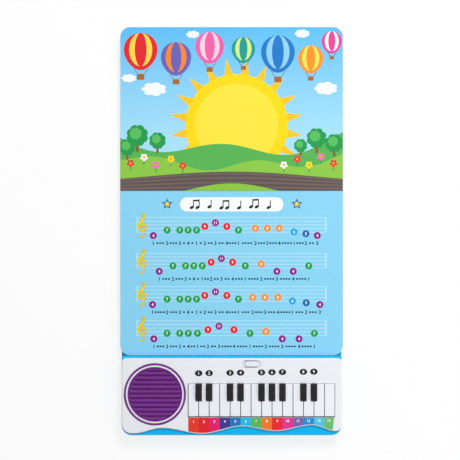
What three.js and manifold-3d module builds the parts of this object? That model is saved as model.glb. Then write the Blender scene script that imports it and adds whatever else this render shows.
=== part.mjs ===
// A children's sound book lying open and flat: two stacks of thick board pages
// on a hard two-part cover, with a small keyboard module below the lower page.
// Millimetres. +X runs to the right of the open page, +Y up the page, +Z up.
// The origin is under the middle of the open book, on the surface it lies on.

import * as THREE from 'three';
import { mergeVertices } from 'three/addons/utils/BufferGeometryUtils.js';
import Module from 'manifold-3d';

const wasm = await Module();
wasm.setup();

// Pages and covers
const pageWidth = 265;
const pageLength = 195;
const pageCornerRadius = 12;
const leafCount = 5;
const leafThickness = 1.5;
const leafGroove = 0.3;
const leafGrooveDepth = 0.8;
const coverSideInset = 1.5;
const coverThickness = 3;
const coverCornerRadius = 13;
const coverEndInset = 1;
const foldGap = 0.3;
const spineThickness = 1;

// Keyboard housing
const caseSideInset = 1;
const caseHeight = 15;
const caseWall = 1.6;
const deckThickness = 2;
const caseTopCornerRadius = 2;
const caseBottomCornerRadius = 12;
const caseToPages = 0.5;
const caseToCoverEdge = 1;
const baseThickness = 2;

// White face panel with its wavy lower edge
const panelSideInset = 0.3;
const panelThickness = 3;
const panelTopInset = 2.2;
const panelEdgeRadius = 1.2;
const panelTopCornerRadius = 4.5;
const panelLeftCornerRadius = 11;
const panelRightCornerRadius = 7;
// Each turn of the wave: its share of the way across, and its height over the case's edge.
const waveTurns = [
  [0.055, 2.4],
  [0.184, 8.8],
  [0.367, 1.9],
  [0.547, 10.9],
  [0.7, 5.1],
  [0.867, 12.2],
  [0.972, 5.1],
];
const waveSteps = 6;

// Keys
const whiteKeyCount = 14;
const blackKeyBoundaries = [1, 2, 4, 5, 7, 8, 9, 11, 12];
const keysToRing = 2.86;
const keyGap = 0.8;
const keyFrontGap = 1.2;
const keyRearGap = 0.3;
const keysRightMargin = 7.9;
const keysTopMargin = 29.7;
const keysFrontMargin = 21.5;
const whiteKeyLength = 38.6;
const whiteKeyRise = 1.5;
const whiteKeyNose = 1;
const blackKeyWidth = 6.8;
const blackKeyLength = 19.6;
const blackKeyRise = 4.3;
const blackKeyNose = 1.6;
const blackKeyCornerRadius = 1.6;
const keyNotchGap = 0.4;
const keyNotchFrontGap = 0.8;
const keyTopWall = 1.5;
const keySideWall = 1.1;
const keyFrontHeight = 8;
const whitePlungerReach = 28;
const blackPlungerReach = 12;
const plungerRadius = 1.6;

// Key hinge rod and its saddles
const rodRadius = 1;
const rodBore = 1.3;
const rodBehindKeys = 3.6;
const rodBelowDeck = 2.5;
const rodOverhang = 4;
const eyeletRadius = 2.2;
const saddleWidth = 3;
const saddleGap = 0.4;
const saddleWall = 1.4;

// Speaker and grille
const speakerLeftMargin = 39.1;
const speakerTopMargin = 42.6;
const speakerRadius = 25;
const speakerFlange = 2.4;
const speakerFlangeThickness = 1;
const basketRadius = 14;
const basketDepth = 6;
const sheetMetal = 0.8;
const coneThickness = 0.6;
const dustCapRadius = 6;
const coneRoom = 2;
const terminalReach = 2.5;
const magnetRadius = 11;
const magnetThickness = 3;
const grilleRadius = 32.1;
const grilleBase = 1.3;
const grilleRimWidth = 1.6;
const ribCount = 12;
const ribWidth = 4;
const ribHeight = 1.9;
const grilleSlotWidth = 1.1;
const grilleSlotMargin = 4;
const grilleToRing = 2.4;
const ringWidth = 2;
const ringDepth = 1.2;
const ringProud = 0.5;

// Power switch
const switchToBay = 18.6;
const switchTopMargin = 6.7;
const recessLength = 22;
const recessWidth = 8.9;
const recessDepth = 1.2;
const knobLength = 15.4;
const knobWidth = 6.1;
const knobHeight = 2;
const knobTravel = 3;
const knobRidgeWidth = 0.9;
const knobRidgeHeight = 0.4;
const stemLength = 6;
const stemWidth = 4;
const leverSize = 1.8;
const leverFootLength = 5;
const leverFootHeight = 1.2;
const leverEngagement = 1.6;
const switchBodyLength = 15;
const switchBodyWidth = 6.4;
const switchBodyHeight = 4;
const switchBodyWall = 1;

// Circuit board and rubber keypad
const boardThickness = 1.6;
const boardStandoff = 3;
const boardMargin = 2;
const standoffRadius = 2;
const keypadThickness = 0.8;
const keypadMargin = 5;
const domeRadius = 3.2;
const domeTopRadius = 2.1;
const domeToPlunger = 0.3;
const domeHeight = 1.3;
const chipCoverRadius = 6;
const chipCoverHeight = 1.8;

// Batteries, their bay and its door
const batteryRadius = 5.25;
const batteryBody = 43.3;
const batteryNubRadius = 1.9;
const batteryNubLength = 1.2;
const batteryGap = 0.25;
const doorToCaseSide = 25;
const bayWall = 1;
const bayToCaseWall = 0.3;
const bayHeadroom = 0.3;
const contactThickness = 0.5;
const contactWidth = 8;
const springLength = 4.6;
const springRadius = 3.2;
const springWire = 0.35;
const springTurns = 3;
const springTaper = 1.1;
const doorThickness = 2.2;
const doorLap = 2.5;
const doorGap = 0.4;
const doorCornerRadius = 2;
const doorTab = 12;

// Screws
const screwHeadRadius = 2.6;
const screwHeadHeight = 1.2;
const screwShankRadius = 1.2;
const screwLength = 6;
const screwBossRadius = 3;
const screwInset = 12;
const screwTopInset = 9;
const screwClearance = 0.3;
const bossToBase = 0.3;

// Leads
const leadRadius = 0.6;
const leadEndGap = 0.3;

// Clearances
const looseGap = 0.3;
const cutOverrun = 1;

// Facets
const cornerSteps = 5;
const roundSides = 40;
const smallSides = 12;

// Grille and its ring
const ribPitch = 2 * grilleRadius / ribCount;
const ringInnerRadius = grilleRadius + grilleToRing;
const ringOuterRadius = ringInnerRadius + ringWidth;

// Levels, counted up from the surface the book lies on
const pageTop = coverThickness + leafCount * leafThickness;
const baseTop = coverThickness + baseThickness;
const caseTop = coverThickness + caseHeight;
const deckUnderside = caseTop - deckThickness;
const panelTop = caseTop + panelThickness;
const boardBottom = baseTop + boardStandoff;
const boardTop = boardBottom + boardThickness;
const keypadTop = boardTop + keypadThickness;
const domeTop = keypadTop + domeHeight;
const rodZ = deckUnderside - rodBelowDeck;

// Places along the page
const frontCoverLength = pageLength - coverEndInset;
const keyOpeningLength = keyRearGap + whiteKeyLength + keyFrontGap;
const caseLength = panelTopInset + keysTopMargin + keyOpeningLength + keysFrontMargin;
const backCoverLength = pageLength + caseToPages + caseLength + caseToCoverEdge;
const foldY = (backCoverLength - pageLength) / 2;
const caseTopY = foldY - pageLength - caseToPages;
const caseBottomY = caseTopY - caseLength;
const panelTopY = caseTopY - panelTopInset;
const openingTopY = panelTopY - keysTopMargin;
const keyRearY = openingTopY - keyRearGap;
const whiteFrontY = keyRearY - whiteKeyLength;
const openingBottomY = whiteFrontY - keyFrontGap;
const blackFrontY = keyRearY - blackKeyLength;
const notchFrontY = blackFrontY - keyNotchFrontGap;
const rodY = keyRearY + rodBehindKeys;
const whitePlungerY = keyRearY - whitePlungerReach;
const blackPlungerY = keyRearY - blackPlungerReach;
const switchY = panelTopY - switchTopMargin;
const speakerY = panelTopY - speakerTopMargin;

// Places across the page
const coverWidth = pageWidth - 2 * coverSideInset;
const caseWidth = coverWidth - 2 * caseSideInset;
const panelWidth = caseWidth - 2 * panelSideInset;
const keysWidth = panelWidth - keysRightMargin - keysToRing - ringOuterRadius - speakerLeftMargin;
const keyPitch = keysWidth / whiteKeyCount;
const keysRightX = panelWidth / 2 - keysRightMargin;
const keysLeftX = keysRightX - whiteKeyCount * keyPitch;
const speakerX = -panelWidth / 2 + speakerLeftMargin;
const boundaryX = (index) => keysLeftX + index * keyPitch;

// Battery bay
const batteryLength = batteryBody + batteryNubLength;
const batteryPitch = 2 * batteryRadius + batteryGap;
const bayLength = batteryLength + springLength + 2 * contactThickness + 3 * looseGap;
const doorRightX = caseWidth / 2 - doorToCaseSide;
const bayRightX = doorRightX - doorTab;
const bayLeftX = bayRightX - bayLength;
const switchX = bayLeftX - switchToBay;
const bayTopY = caseTopY - caseWall - bayToCaseWall - bayWall;
const bayBottomY = bayTopY - 2 * batteryRadius - batteryPitch - 2 * batteryGap;
const bayMiddleY = (bayTopY + bayBottomY) / 2;
const batteryZ = coverThickness + looseGap + batteryRadius;
const bayCeiling = batteryZ + batteryRadius + bayHeadroom;
const doorLeftX = bayLeftX - doorLap;
const doorTopY = bayTopY + doorLap - bayWall;
const doorBottomY = bayBottomY - doorLap;
const doorBottom = coverThickness - doorThickness;
const doorScrewX = bayRightX + doorTab / 2 + bayWall;

const board = (name, color) => material(name, color, 0.75, 0);

const materials = {
  coverWrap: board('cyan cover wrap', 0x00b4ee),
  pages: board('white page board', 0xf2f1ec),
  casePlastic: material('cyan ABS', 0x00b4ee, 0.4, 0),
  panelPlastic: material('white ABS', 0xe9ebf0, 0.35, 0),
  whiteKey: material('white key ABS', 0xf1f2f5, 0.3, 0),
  blackKey: material('black key ABS', 0x232123, 0.35, 0),
  purplePlastic: material('purple ABS', 0x7a3892, 0.45, 0),
  steel: material('steel', 0xb4b6b9, 0.35, 1),
  tinnedSteel: material('nickel plated spring steel', 0xc9c9c4, 0.3, 1),
  ferrite: material('ferrite', 0x2f2f31, 0.6, 0),
  paperCone: material('black paper cone', 0x26262a, 0.85, 0),
  rubber: material('grey silicone rubber', 0xa9adb2, 0.8, 0),
  fibreBoard: material('green fibreglass board', 0x1f6b3c, 0.5, 0),
  epoxy: material('black epoxy', 0x18181a, 0.4, 0),
  batteryWrap: material('battery sleeve', 0x2d4c8c, 0.35, 0.1),
  blackPlastic: material('black nylon', 0x1d1d1f, 0.5, 0),
  redLead: material('red lead', 0xc22323, 0.5, 0),
  blackLead: material('black lead', 0x1a1a1a, 0.5, 0),
};

const book = new THREE.Group();

function material(name, color, roughness, metalness) {
  const made = new THREE.MeshStandardMaterial({ color, roughness, metalness });
  made.name = name;
  return made;
}

// Adds a finished piece to the book. shape is a geometry or a solid.
function piece(name, shape, look, parent = book) {
  const geometry = shape.isBufferGeometry ? shape : geometryOf(shape);
  const mesh = new THREE.Mesh(geometry, look);
  mesh.name = name;
  parent.add(mesh);
  return mesh;
}

function solid(geometry) {
  const bare = geometry.clone();
  bare.deleteAttribute('normal');
  bare.deleteAttribute('uv');
  const merged = mergeVertices(bare, 1e-4);
  return new wasm.Manifold(new wasm.Mesh({
    numProp: 3,
    vertProperties: new Float32Array(merged.attributes.position.array),
    triVerts: new Uint32Array(merged.index.array),
  }));
}

function geometryOf(shape) {
  const mesh = shape.getMesh();
  const geometry = new THREE.BufferGeometry();
  geometry.setAttribute('position', new THREE.BufferAttribute(mesh.vertProperties, 3));
  geometry.setIndex(new THREE.BufferAttribute(mesh.triVerts, 1));
  geometry.computeVertexNormals();
  return geometry;
}

function joined(shapes) {
  return shapes.reduce((whole, next) => whole.add(next));
}

// Points on an arc, from one angle to another in degrees.
function arc(x, y, radius, from, to, steps) {
  const points = [];
  for (let step = 0; step <= steps; step += 1) {
    const angle = THREE.MathUtils.degToRad(from + (to - from) * step / steps);
    points.push(new THREE.Vector2(x + radius * Math.cos(angle), y + radius * Math.sin(angle)));
  }
  return points;
}

function circle(x, y, radius, sides = roundSides) {
  return new THREE.Shape(arc(x, y, radius, 0, 360 - 360 / sides, sides - 1));
}

// A rectangle whose corners have their own radii, 0 for a square corner.
function plate(left, bottom, right, top, radii, steps = cornerSteps) {
  const [bottomLeft, bottomRight, topRight, topLeft] = radii;
  const corner = (x, y, radius, from) => (
    radius > 0 ? arc(x, y, radius, from, from + 90, steps) : [new THREE.Vector2(x, y)]
  );
  return new THREE.Shape([
    ...corner(left + bottomLeft, bottom + bottomLeft, bottomLeft, 180),
    ...corner(right - bottomRight, bottom + bottomRight, bottomRight, 270),
    ...corner(right - topRight, top - topRight, topRight, 0),
    ...corner(left + topLeft, top - topLeft, topLeft, 90),
  ]);
}

function pill(x, y, length, width, steps = cornerSteps) {
  const end = width / 2;
  const radii = [end, end, end, end];
  return plate(x - length / 2, y - end, x + length / 2, y + end, radii, steps);
}

function upright(shape, low, high) {
  const geometry = new THREE.ExtrudeGeometry(shape, { depth: high - low, bevelEnabled: false });
  return geometry.translate(0, 0, low);
}

// Extrudes a side view, drawn as (y, z), across the book from left to right.
function across(shape, left, right) {
  const geometry = new THREE.ExtrudeGeometry(shape, { depth: right - left, bevelEnabled: false });
  const turn = new THREE.Matrix4().makeBasis(
    new THREE.Vector3(0, 1, 0),
    new THREE.Vector3(0, 0, 1),
    new THREE.Vector3(1, 0, 0),
  );
  return geometry.applyMatrix4(turn).translate(left, 0, 0);
}

const prism = (shape, low, high) => solid(upright(shape, low, high));
const bar = (shape, left, right) => solid(across(shape, left, right));
const block = (left, right, front, rear, low, high) => (
  prism(plate(left, front, right, rear, [0, 0, 0, 0]), low, high)
);
const post = (x, y, radius, low, high, sides = smallSides) => (
  prism(circle(x, y, radius, sides), low, high)
);

// A turned piece about a vertical axis. profile holds (radius, z) pairs.
function turned(x, y, profile, sides = roundSides) {
  const points = profile.map(([radius, z]) => new THREE.Vector2(radius, z));
  const geometry = new THREE.LatheGeometry(points, sides);
  return geometry.rotateX(Math.PI / 2).translate(x, y, 0);
}

// One half of the book, measured away from the fold: side is 1 up, -1 down.
function half(side, width, near, far, radius) {
  const edge = width / 2;
  const points = [
    new THREE.Vector2(-edge, near),
    new THREE.Vector2(edge, near),
    ...arc(edge - radius, far - radius, radius, 0, 90, cornerSteps),
    ...arc(radius - edge, far - radius, radius, 90, 180, cornerSteps),
  ];
  return new THREE.Shape(points.map((point) => point.set(point.x, foldY + side * point.y)));
}

function pageStack(side) {
  const topLeaf = leafCount - 1;
  const innerNear = foldGap / 2 + spineThickness + looseGap;
  const leaves = [];
  for (let leaf = 0; leaf < leafCount; leaf += 1) {
    const low = coverThickness + leaf * leafThickness;
    const near = leaf === topLeaf ? foldGap / 2 : innerNear;
    const high = low + leafThickness - (leaf === topLeaf ? 0 : leafGroove);
    leaves.push(prism(half(side, pageWidth, near, pageLength, pageCornerRadius), low, high));
  }
  const core = half(
    side,
    pageWidth - 2 * leafGrooveDepth,
    innerNear,
    pageLength - leafGrooveDepth,
    pageCornerRadius - leafGrooveDepth,
  );
  leaves.push(prism(core, coverThickness, pageTop - leafThickness));
  return joined(leaves);
}

// A cover board with its half of the spine, which tucks in under the top leaf.
function coverBoard(side, length) {
  const near = foldGap / 2;
  const boardShape = half(side, coverWidth, near, length, coverCornerRadius);
  const spineEdges = [foldY + side * near, foldY + side * (near + spineThickness)];
  const spine = block(
    -coverWidth / 2,
    coverWidth / 2,
    Math.min(...spineEdges),
    Math.max(...spineEdges),
    coverThickness,
    pageTop - leafThickness,
  );
  return prism(boardShape, 0, coverThickness).add(spine);
}

function doorOutline(grow) {
  const radius = doorCornerRadius + grow;
  return plate(
    doorLeftX - grow,
    doorBottomY - grow,
    doorRightX + grow,
    doorTopY + grow,
    [radius, radius, radius, radius],
    3,
  );
}

function makeBook() {
  const doorHole = prism(doorOutline(doorGap), -cutOverrun, coverThickness + cutOverrun);
  piece('back_cover', coverBoard(-1, backCoverLength).subtract(doorHole), materials.coverWrap);
  piece('lower_pages', pageStack(-1), materials.pages);
  piece('front_cover', coverBoard(1, frontCoverLength), materials.coverWrap);
  piece('upper_pages', pageStack(1), materials.pages);
}

function caseOutline(inset) {
  const topRadius = Math.max(caseTopCornerRadius - inset, 0.2);
  const bottomRadius = caseBottomCornerRadius - inset;
  return plate(
    -caseWidth / 2 + inset,
    caseBottomY + inset,
    caseWidth / 2 - inset,
    caseTopY - inset,
    [bottomRadius, bottomRadius, topRadius, topRadius],
  );
}

const screwPlaces = [-1, 1].flatMap((side) => [
  [side * (caseWidth / 2 - screwInset), caseTopY - screwTopInset],
  [side * (caseWidth / 2 - screwInset), caseBottomY + screwInset],
]);
const saddleBoundaries = Array.from({ length: whiteKeyCount + 1 }, (_, index) => index)
  .filter((index) => !blackKeyBoundaries.includes(index));
const keyOpening = (grow) => plate(
  keysLeftX - keyGap / 2 - grow,
  openingBottomY - grow,
  keysRightX + keyGap / 2 + grow,
  openingTopY,
  [0, 0, 0, 0],
);
const stemSlotReach = stemLength / 2 + knobTravel + looseGap;
const stemSlotHalf = stemWidth / 2 + looseGap;
const stemSlot = plate(
  switchX - stemSlotReach,
  switchY - stemSlotHalf,
  switchX + stemSlotReach,
  switchY + stemSlotHalf,
  [0, 0, 0, 0],
);

function makeCase() {
  let shell = prism(caseOutline(0), coverThickness, caseTop)
    .subtract(prism(caseOutline(caseWall), coverThickness - cutOverrun, deckUnderside));
  for (const [x, y] of screwPlaces) {
    shell = shell.add(post(x, y, screwBossRadius, baseTop + bossToBase, caseTop - cutOverrun));
  }
  for (const index of saddleBoundaries) {
    shell = shell.add(block(
      boundaryX(index) - saddleWidth / 2,
      boundaryX(index) + saddleWidth / 2,
      rodY - rodBore - saddleWall,
      rodY + rodBore + saddleWall,
      rodZ - rodBore - saddleWall,
      caseTop - cutOverrun,
    ));
  }
  const cuts = [
    ...screwPlaces.map(([x, y]) => (
      post(x, y, screwShankRadius + screwClearance / 2, coverThickness, coverThickness + screwLength
        + screwHeadHeight + 2 * screwClearance)
    )),
    bar(circle(rodY, rodZ, rodBore, smallSides), 2 * caseWall - caseWidth / 2, caseWidth / 2 - 2 * caseWall),
    prism(keyOpening(looseGap), deckUnderside - cutOverrun, caseTop + cutOverrun),
    prism(stemSlot, deckUnderside - cutOverrun, caseTop + cutOverrun),
    prism(circle(speakerX, speakerY, speakerRadius - speakerFlange), deckUnderside - cutOverrun,
      caseTop + cutOverrun),
  ];
  piece('keyboard_case', shell.subtract(joined(cuts)), materials.casePlastic);
}

// The panel's outline: round corners joined by a wave through its turns.
function panelOutline() {
  const edge = panelWidth / 2;
  const wave = [];
  for (let turn = 0; turn + 1 < waveTurns.length; turn += 1) {
    const [startShare, startRise] = waveTurns[turn];
    const [endShare, endRise] = waveTurns[turn + 1];
    const startX = (startShare - 0.5) * panelWidth;
    const endX = (endShare - 0.5) * panelWidth;
    for (let step = 0; step < waveSteps; step += 1) {
      const share = step / waveSteps;
      const ease = (1 - Math.cos(Math.PI * share)) / 2;
      wave.push(new THREE.Vector2(
        startX + (endX - startX) * share,
        caseBottomY + startRise + (endRise - startRise) * ease,
      ));
    }
  }
  const leftLow = caseBottomY + waveTurns[0][1];
  const rightLow = caseBottomY + waveTurns[waveTurns.length - 1][1];
  const top = panelTopCornerRadius;
  const left = panelLeftCornerRadius;
  const right = panelRightCornerRadius;
  return new THREE.Shape([
    ...arc(left - edge, leftLow + left, left, 180, 270, cornerSteps),
    ...wave,
    ...arc(edge - right, rightLow + right, right, 270, 360, cornerSteps),
    ...arc(edge - top, panelTopY - top, top, 0, 90, cornerSteps),
    ...arc(top - edge, panelTopY - top, top, 90, 180, cornerSteps),
  ]);
}

function makePanel() {
  const depth = panelThickness - panelEdgeRadius;
  const rounded = new THREE.ExtrudeGeometry(panelOutline(), {
    depth,
    bevelThickness: panelEdgeRadius,
    bevelSize: panelEdgeRadius,
    bevelOffset: -panelEdgeRadius,
    bevelSegments: 2,
  }).translate(0, 0, caseTop);
  const reach = caseWidth;
  const below = block(-reach, reach, -reach * 2, reach, caseTop - 2 * panelEdgeRadius, caseTop);
  const floor = panelTop - recessDepth;
  const ringGroove = prism(
    circle(speakerX, speakerY, ringOuterRadius + looseGap),
    panelTop - ringDepth,
    panelTop + cutOverrun,
  ).subtract(prism(
    circle(speakerX, speakerY, ringInnerRadius - looseGap),
    panelTop - ringDepth - cutOverrun,
    panelTop + cutOverrun,
  ));
  const cuts = [
    below,
    prism(keyOpening(0), caseTop - cutOverrun, panelTop + cutOverrun),
    prism(circle(speakerX, speakerY, grilleRadius + looseGap), caseTop - cutOverrun, panelTop + cutOverrun),
    ringGroove,
    prism(pill(switchX, switchY, recessLength, recessWidth), floor, panelTop + cutOverrun),
    prism(stemSlot, caseTop - cutOverrun, panelTop + cutOverrun),
  ];
  const panel = cuts.reduce((left, cut) => left.subtract(cut), solid(rounded));
  piece('face_panel', panel, materials.panelPlastic);
}

function makeBase() {
  const inset = caseWall + looseGap;
  const bayBox = (grow, low, high) => block(
    bayLeftX - grow,
    bayRightX + grow,
    bayBottomY - grow,
    bayTopY + grow,
    low,
    high,
  );
  let base = prism(caseOutline(inset), coverThickness, baseTop)
    .add(bayBox(bayWall, coverThickness, bayCeiling + bayWall))
    .add(post(doorScrewX, bayMiddleY, screwBossRadius, coverThickness, coverThickness + screwLength));
  for (const [x, y] of standoffPlaces) {
    base = base.add(post(x, y, standoffRadius, coverThickness, boardBottom, 8));
  }
  const cuts = [
    bayBox(0, coverThickness - cutOverrun, bayCeiling),
    post(doorScrewX, bayMiddleY, screwShankRadius + screwClearance / 2, coverThickness - cutOverrun,
      coverThickness + screwLength - cutOverrun),
  ];
  for (const [x, y] of screwPlaces) {
    const seat = coverThickness + screwHeadHeight + screwClearance;
    cuts.push(post(x, y, screwHeadRadius + screwClearance, coverThickness - cutOverrun, seat));
    cuts.push(post(x, y, screwShankRadius + screwClearance, coverThickness, baseTop + cutOverrun));
  }
  for (const y of batteryRows) {
    cuts.push(block(
      bayLeftX - 2 * bayWall,
      bayLeftX + cutOverrun,
      y - leadRadius - looseGap,
      y + leadRadius + looseGap,
      leadZ - leadRadius - looseGap,
      leadZ + leadRadius + looseGap,
    ));
  }
  piece('case_base', base.subtract(joined(cuts)), materials.casePlastic);
}

// A pan-head screw with its axis along Z, its head down and a cross slot in it.
function screw(x, y, headBottom) {
  const slotDepth = screwHeadHeight / 2;
  const slotHalf = screwHeadRadius * 0.65;
  const slotWidth = 0.35;
  const cross = block(x - slotHalf, x + slotHalf, y - slotWidth, y + slotWidth, headBottom - cutOverrun,
    headBottom + slotDepth)
    .add(block(x - slotWidth, x + slotWidth, y - slotHalf, y + slotHalf, headBottom - cutOverrun,
      headBottom + slotDepth));
  return post(x, y, screwHeadRadius, headBottom, headBottom + screwHeadHeight)
    .add(post(x, y, screwShankRadius, headBottom, headBottom + screwHeadHeight + screwLength - 1, 8))
    .subtract(cross);
}

function makeScrews() {
  screwPlaces.forEach(([x, y], index) => {
    piece(`case_screw_${index + 1}`, screw(x, y, coverThickness + screwClearance / 2), materials.steel);
  });
}

// The side view of a key, drawn as (y, z): body, rear step and hinge eyelet.
function keySide(front, top, nose) {
  const tailTop = rodZ + eyeletRadius;
  const frontBottom = panelTop + whiteKeyRise - keyFrontHeight;
  return new THREE.Shape([
    ...arc(rodY, rodZ, eyeletRadius, -90, 90, 5),
    new THREE.Vector2(keyRearY, tailTop),
    new THREE.Vector2(keyRearY, top),
    ...arc(front + nose, top - nose, nose, 90, 180, 3),
    new THREE.Vector2(front, frontBottom),
    new THREE.Vector2(keyRearY, rodZ - eyeletRadius),
  ]);
}

function keyBore() {
  return bar(circle(rodY, rodZ, rodBore, smallSides), keysLeftX - keyPitch, keysRightX + keyPitch);
}

function whiteKey(index) {
  const left = boundaryX(index) + keyGap / 2;
  const right = boundaryX(index + 1) - keyGap / 2;
  const top = panelTop + whiteKeyRise;
  const middle = (left + right) / 2;
  const notch = blackKeyWidth / 2 + keyNotchGap;
  const saddle = saddleWidth / 2 + saddleGap;
  const sideCut = (boundary) => {
    const isBlack = blackKeyBoundaries.includes(boundary);
    const reach = isBlack ? notch : saddle;
    const front = isBlack ? notchFrontY : keyRearY;
    const high = isBlack ? top + cutOverrun : deckUnderside;
    const x = boundaryX(boundary);
    return block(x - reach, x + reach, front, rodY + 2 * eyeletRadius, 0, high);
  };
  const hollow = block(
    left + keySideWall,
    right - keySideWall,
    whiteFrontY + keySideWall,
    notchFrontY - keySideWall,
    0,
    top - keyTopWall,
  );
  return bar(keySide(whiteFrontY, top, whiteKeyNose), left, right)
    .subtract(sideCut(index))
    .subtract(sideCut(index + 1))
    .subtract(hollow)
    .add(post(middle, whitePlungerY, plungerRadius, domeTop + domeToPlunger, top - keyTopWall / 2, 8))
    .subtract(keyBore());
}

function blackKey(boundary) {
  const x = boundaryX(boundary);
  const edge = blackKeyWidth / 2;
  const top = panelTop + blackKeyRise;
  const round = blackKeyCornerRadius;
  const fromAbove = plate(x - edge, blackFrontY, x + edge, rodY + 2 * eyeletRadius, [round, round, 0, 0], 3);
  const hollow = block(
    x - edge + keySideWall,
    x + edge - keySideWall,
    blackFrontY + keySideWall,
    keyRearY - keySideWall,
    0,
    top - keyTopWall,
  );
  return bar(keySide(blackFrontY, top, blackKeyNose), x - edge, x + edge)
    .intersect(prism(fromAbove, 0, top + cutOverrun))
    .subtract(hollow)
    .add(post(x, blackPlungerY, plungerRadius, domeTop + domeToPlunger, top - keyTopWall / 2, 8))
    .subtract(keyBore());
}

const twoDigits = (number) => String(number).padStart(2, '0');

function makeKeys() {
  for (let index = 0; index < whiteKeyCount; index += 1) {
    piece(`white_key_${twoDigits(index + 1)}`, whiteKey(index), materials.whiteKey);
  }
  blackKeyBoundaries.forEach((boundary, index) => {
    piece(`black_key_${twoDigits(index + 1)}`, blackKey(boundary), materials.blackKey);
  });
  const rodSection = circle(rodY, rodZ, rodRadius, smallSides);
  const rod = across(rodSection, keysLeftX - rodOverhang, keysRightX + rodOverhang);
  piece('key_hinge_rod', rod, materials.steel);
}

function makeGrille() {
  const base = post(speakerX, speakerY, grilleRadius, caseTop, caseTop + grilleBase, roundSides);
  const rim = post(speakerX, speakerY, grilleRadius, caseTop, panelTop, roundSides)
    .subtract(post(speakerX, speakerY, grilleRadius - grilleRimWidth, caseTop - cutOverrun,
      panelTop + cutOverrun, roundSides));
  const ribs = [];
  const slots = [];
  for (let rib = 0; rib < ribCount; rib += 1) {
    const y = speakerY + (rib - (ribCount - 1) / 2) * ribPitch;
    const crest = arc(0, 0, 1, 0, 180, 6).map((point) => (
      new THREE.Vector2(y + point.x * ribWidth / 2, caseTop + grilleBase + point.y * ribHeight)
    ));
    const foot = caseTop + grilleBase / 2;
    const section = new THREE.Shape([
      ...crest,
      new THREE.Vector2(y - ribWidth / 2, foot),
      new THREE.Vector2(y + ribWidth / 2, foot),
    ]);
    ribs.push(bar(section, speakerX - grilleRadius, speakerX + grilleRadius));
    if (rib > 0) {
      const slotY = y - ribPitch / 2;
      const reach = grilleRadius - grilleSlotMargin;
      const slotHalf = Math.sqrt(reach ** 2 - (slotY - speakerY) ** 2);
      slots.push(block(speakerX - slotHalf, speakerX + slotHalf, slotY - grilleSlotWidth / 2,
        slotY + grilleSlotWidth / 2, caseTop - cutOverrun, panelTop));
    }
  }
  const inside = post(speakerX, speakerY, grilleRadius - grilleRimWidth / 2, caseTop, panelTop + cutOverrun,
    roundSides);
  const grille = base.add(rim).add(joined(ribs).intersect(inside)).subtract(joined(slots));
  piece('speaker_grille', grille, materials.purplePlastic);

  const middle = (ringInnerRadius + ringOuterRadius) / 2;
  const ringBottom = panelTop - ringDepth;
  const ringTop = panelTop + ringProud;
  const shoulder = (ringOuterRadius - ringInnerRadius) / 4;
  piece('grille_ring', turned(speakerX, speakerY, [
    [ringInnerRadius, ringBottom],
    [ringOuterRadius, ringBottom],
    [ringOuterRadius, panelTop],
    [middle + shoulder, ringTop],
    [middle - shoulder, ringTop],
    [ringInnerRadius, panelTop],
    [ringInnerRadius, ringBottom],
  ]), materials.purplePlastic);
}

function makeSpeaker() {
  const flangeBottom = deckUnderside - speakerFlangeThickness;
  const throat = speakerRadius - speakerFlange;
  const basketBottom = flangeBottom - basketDepth;
  const terminal = block(speakerX + throat - 1, speakerX + speakerRadius + terminalReach, speakerY - 4,
    speakerY + 4, flangeBottom, flangeBottom + speakerFlangeThickness);
  const basket = solid(turned(speakerX, speakerY, [
    [0, basketBottom],
    [basketRadius, basketBottom],
    [throat, flangeBottom],
    [speakerRadius, flangeBottom],
    [speakerRadius, deckUnderside],
    [throat - sheetMetal, deckUnderside],
    [basketRadius - sheetMetal, basketBottom + sheetMetal],
    [0, basketBottom + sheetMetal],
  ], 24));
  piece('speaker_frame', basket.add(terminal), materials.steel);
  const coneTop = deckUnderside - looseGap;
  const coneEdge = throat - sheetMetal - coneRoom;
  const coneBottom = basketBottom + sheetMetal + looseGap;
  piece('speaker_cone', turned(speakerX, speakerY, [
    [0, coneBottom + looseGap],
    [dustCapRadius, coneBottom],
    [coneEdge, coneTop - coneThickness],
    [coneEdge, coneTop],
    [dustCapRadius, coneBottom + coneThickness],
    [dustCapRadius * 0.6, coneBottom + 2.6 * coneThickness],
    [0, coneBottom + 3.2 * coneThickness],
  ], 24), materials.paperCone);
  piece('speaker_magnet', upright(circle(speakerX, speakerY, magnetRadius, 24),
    basketBottom - magnetThickness, basketBottom), materials.ferrite);
}

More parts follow.
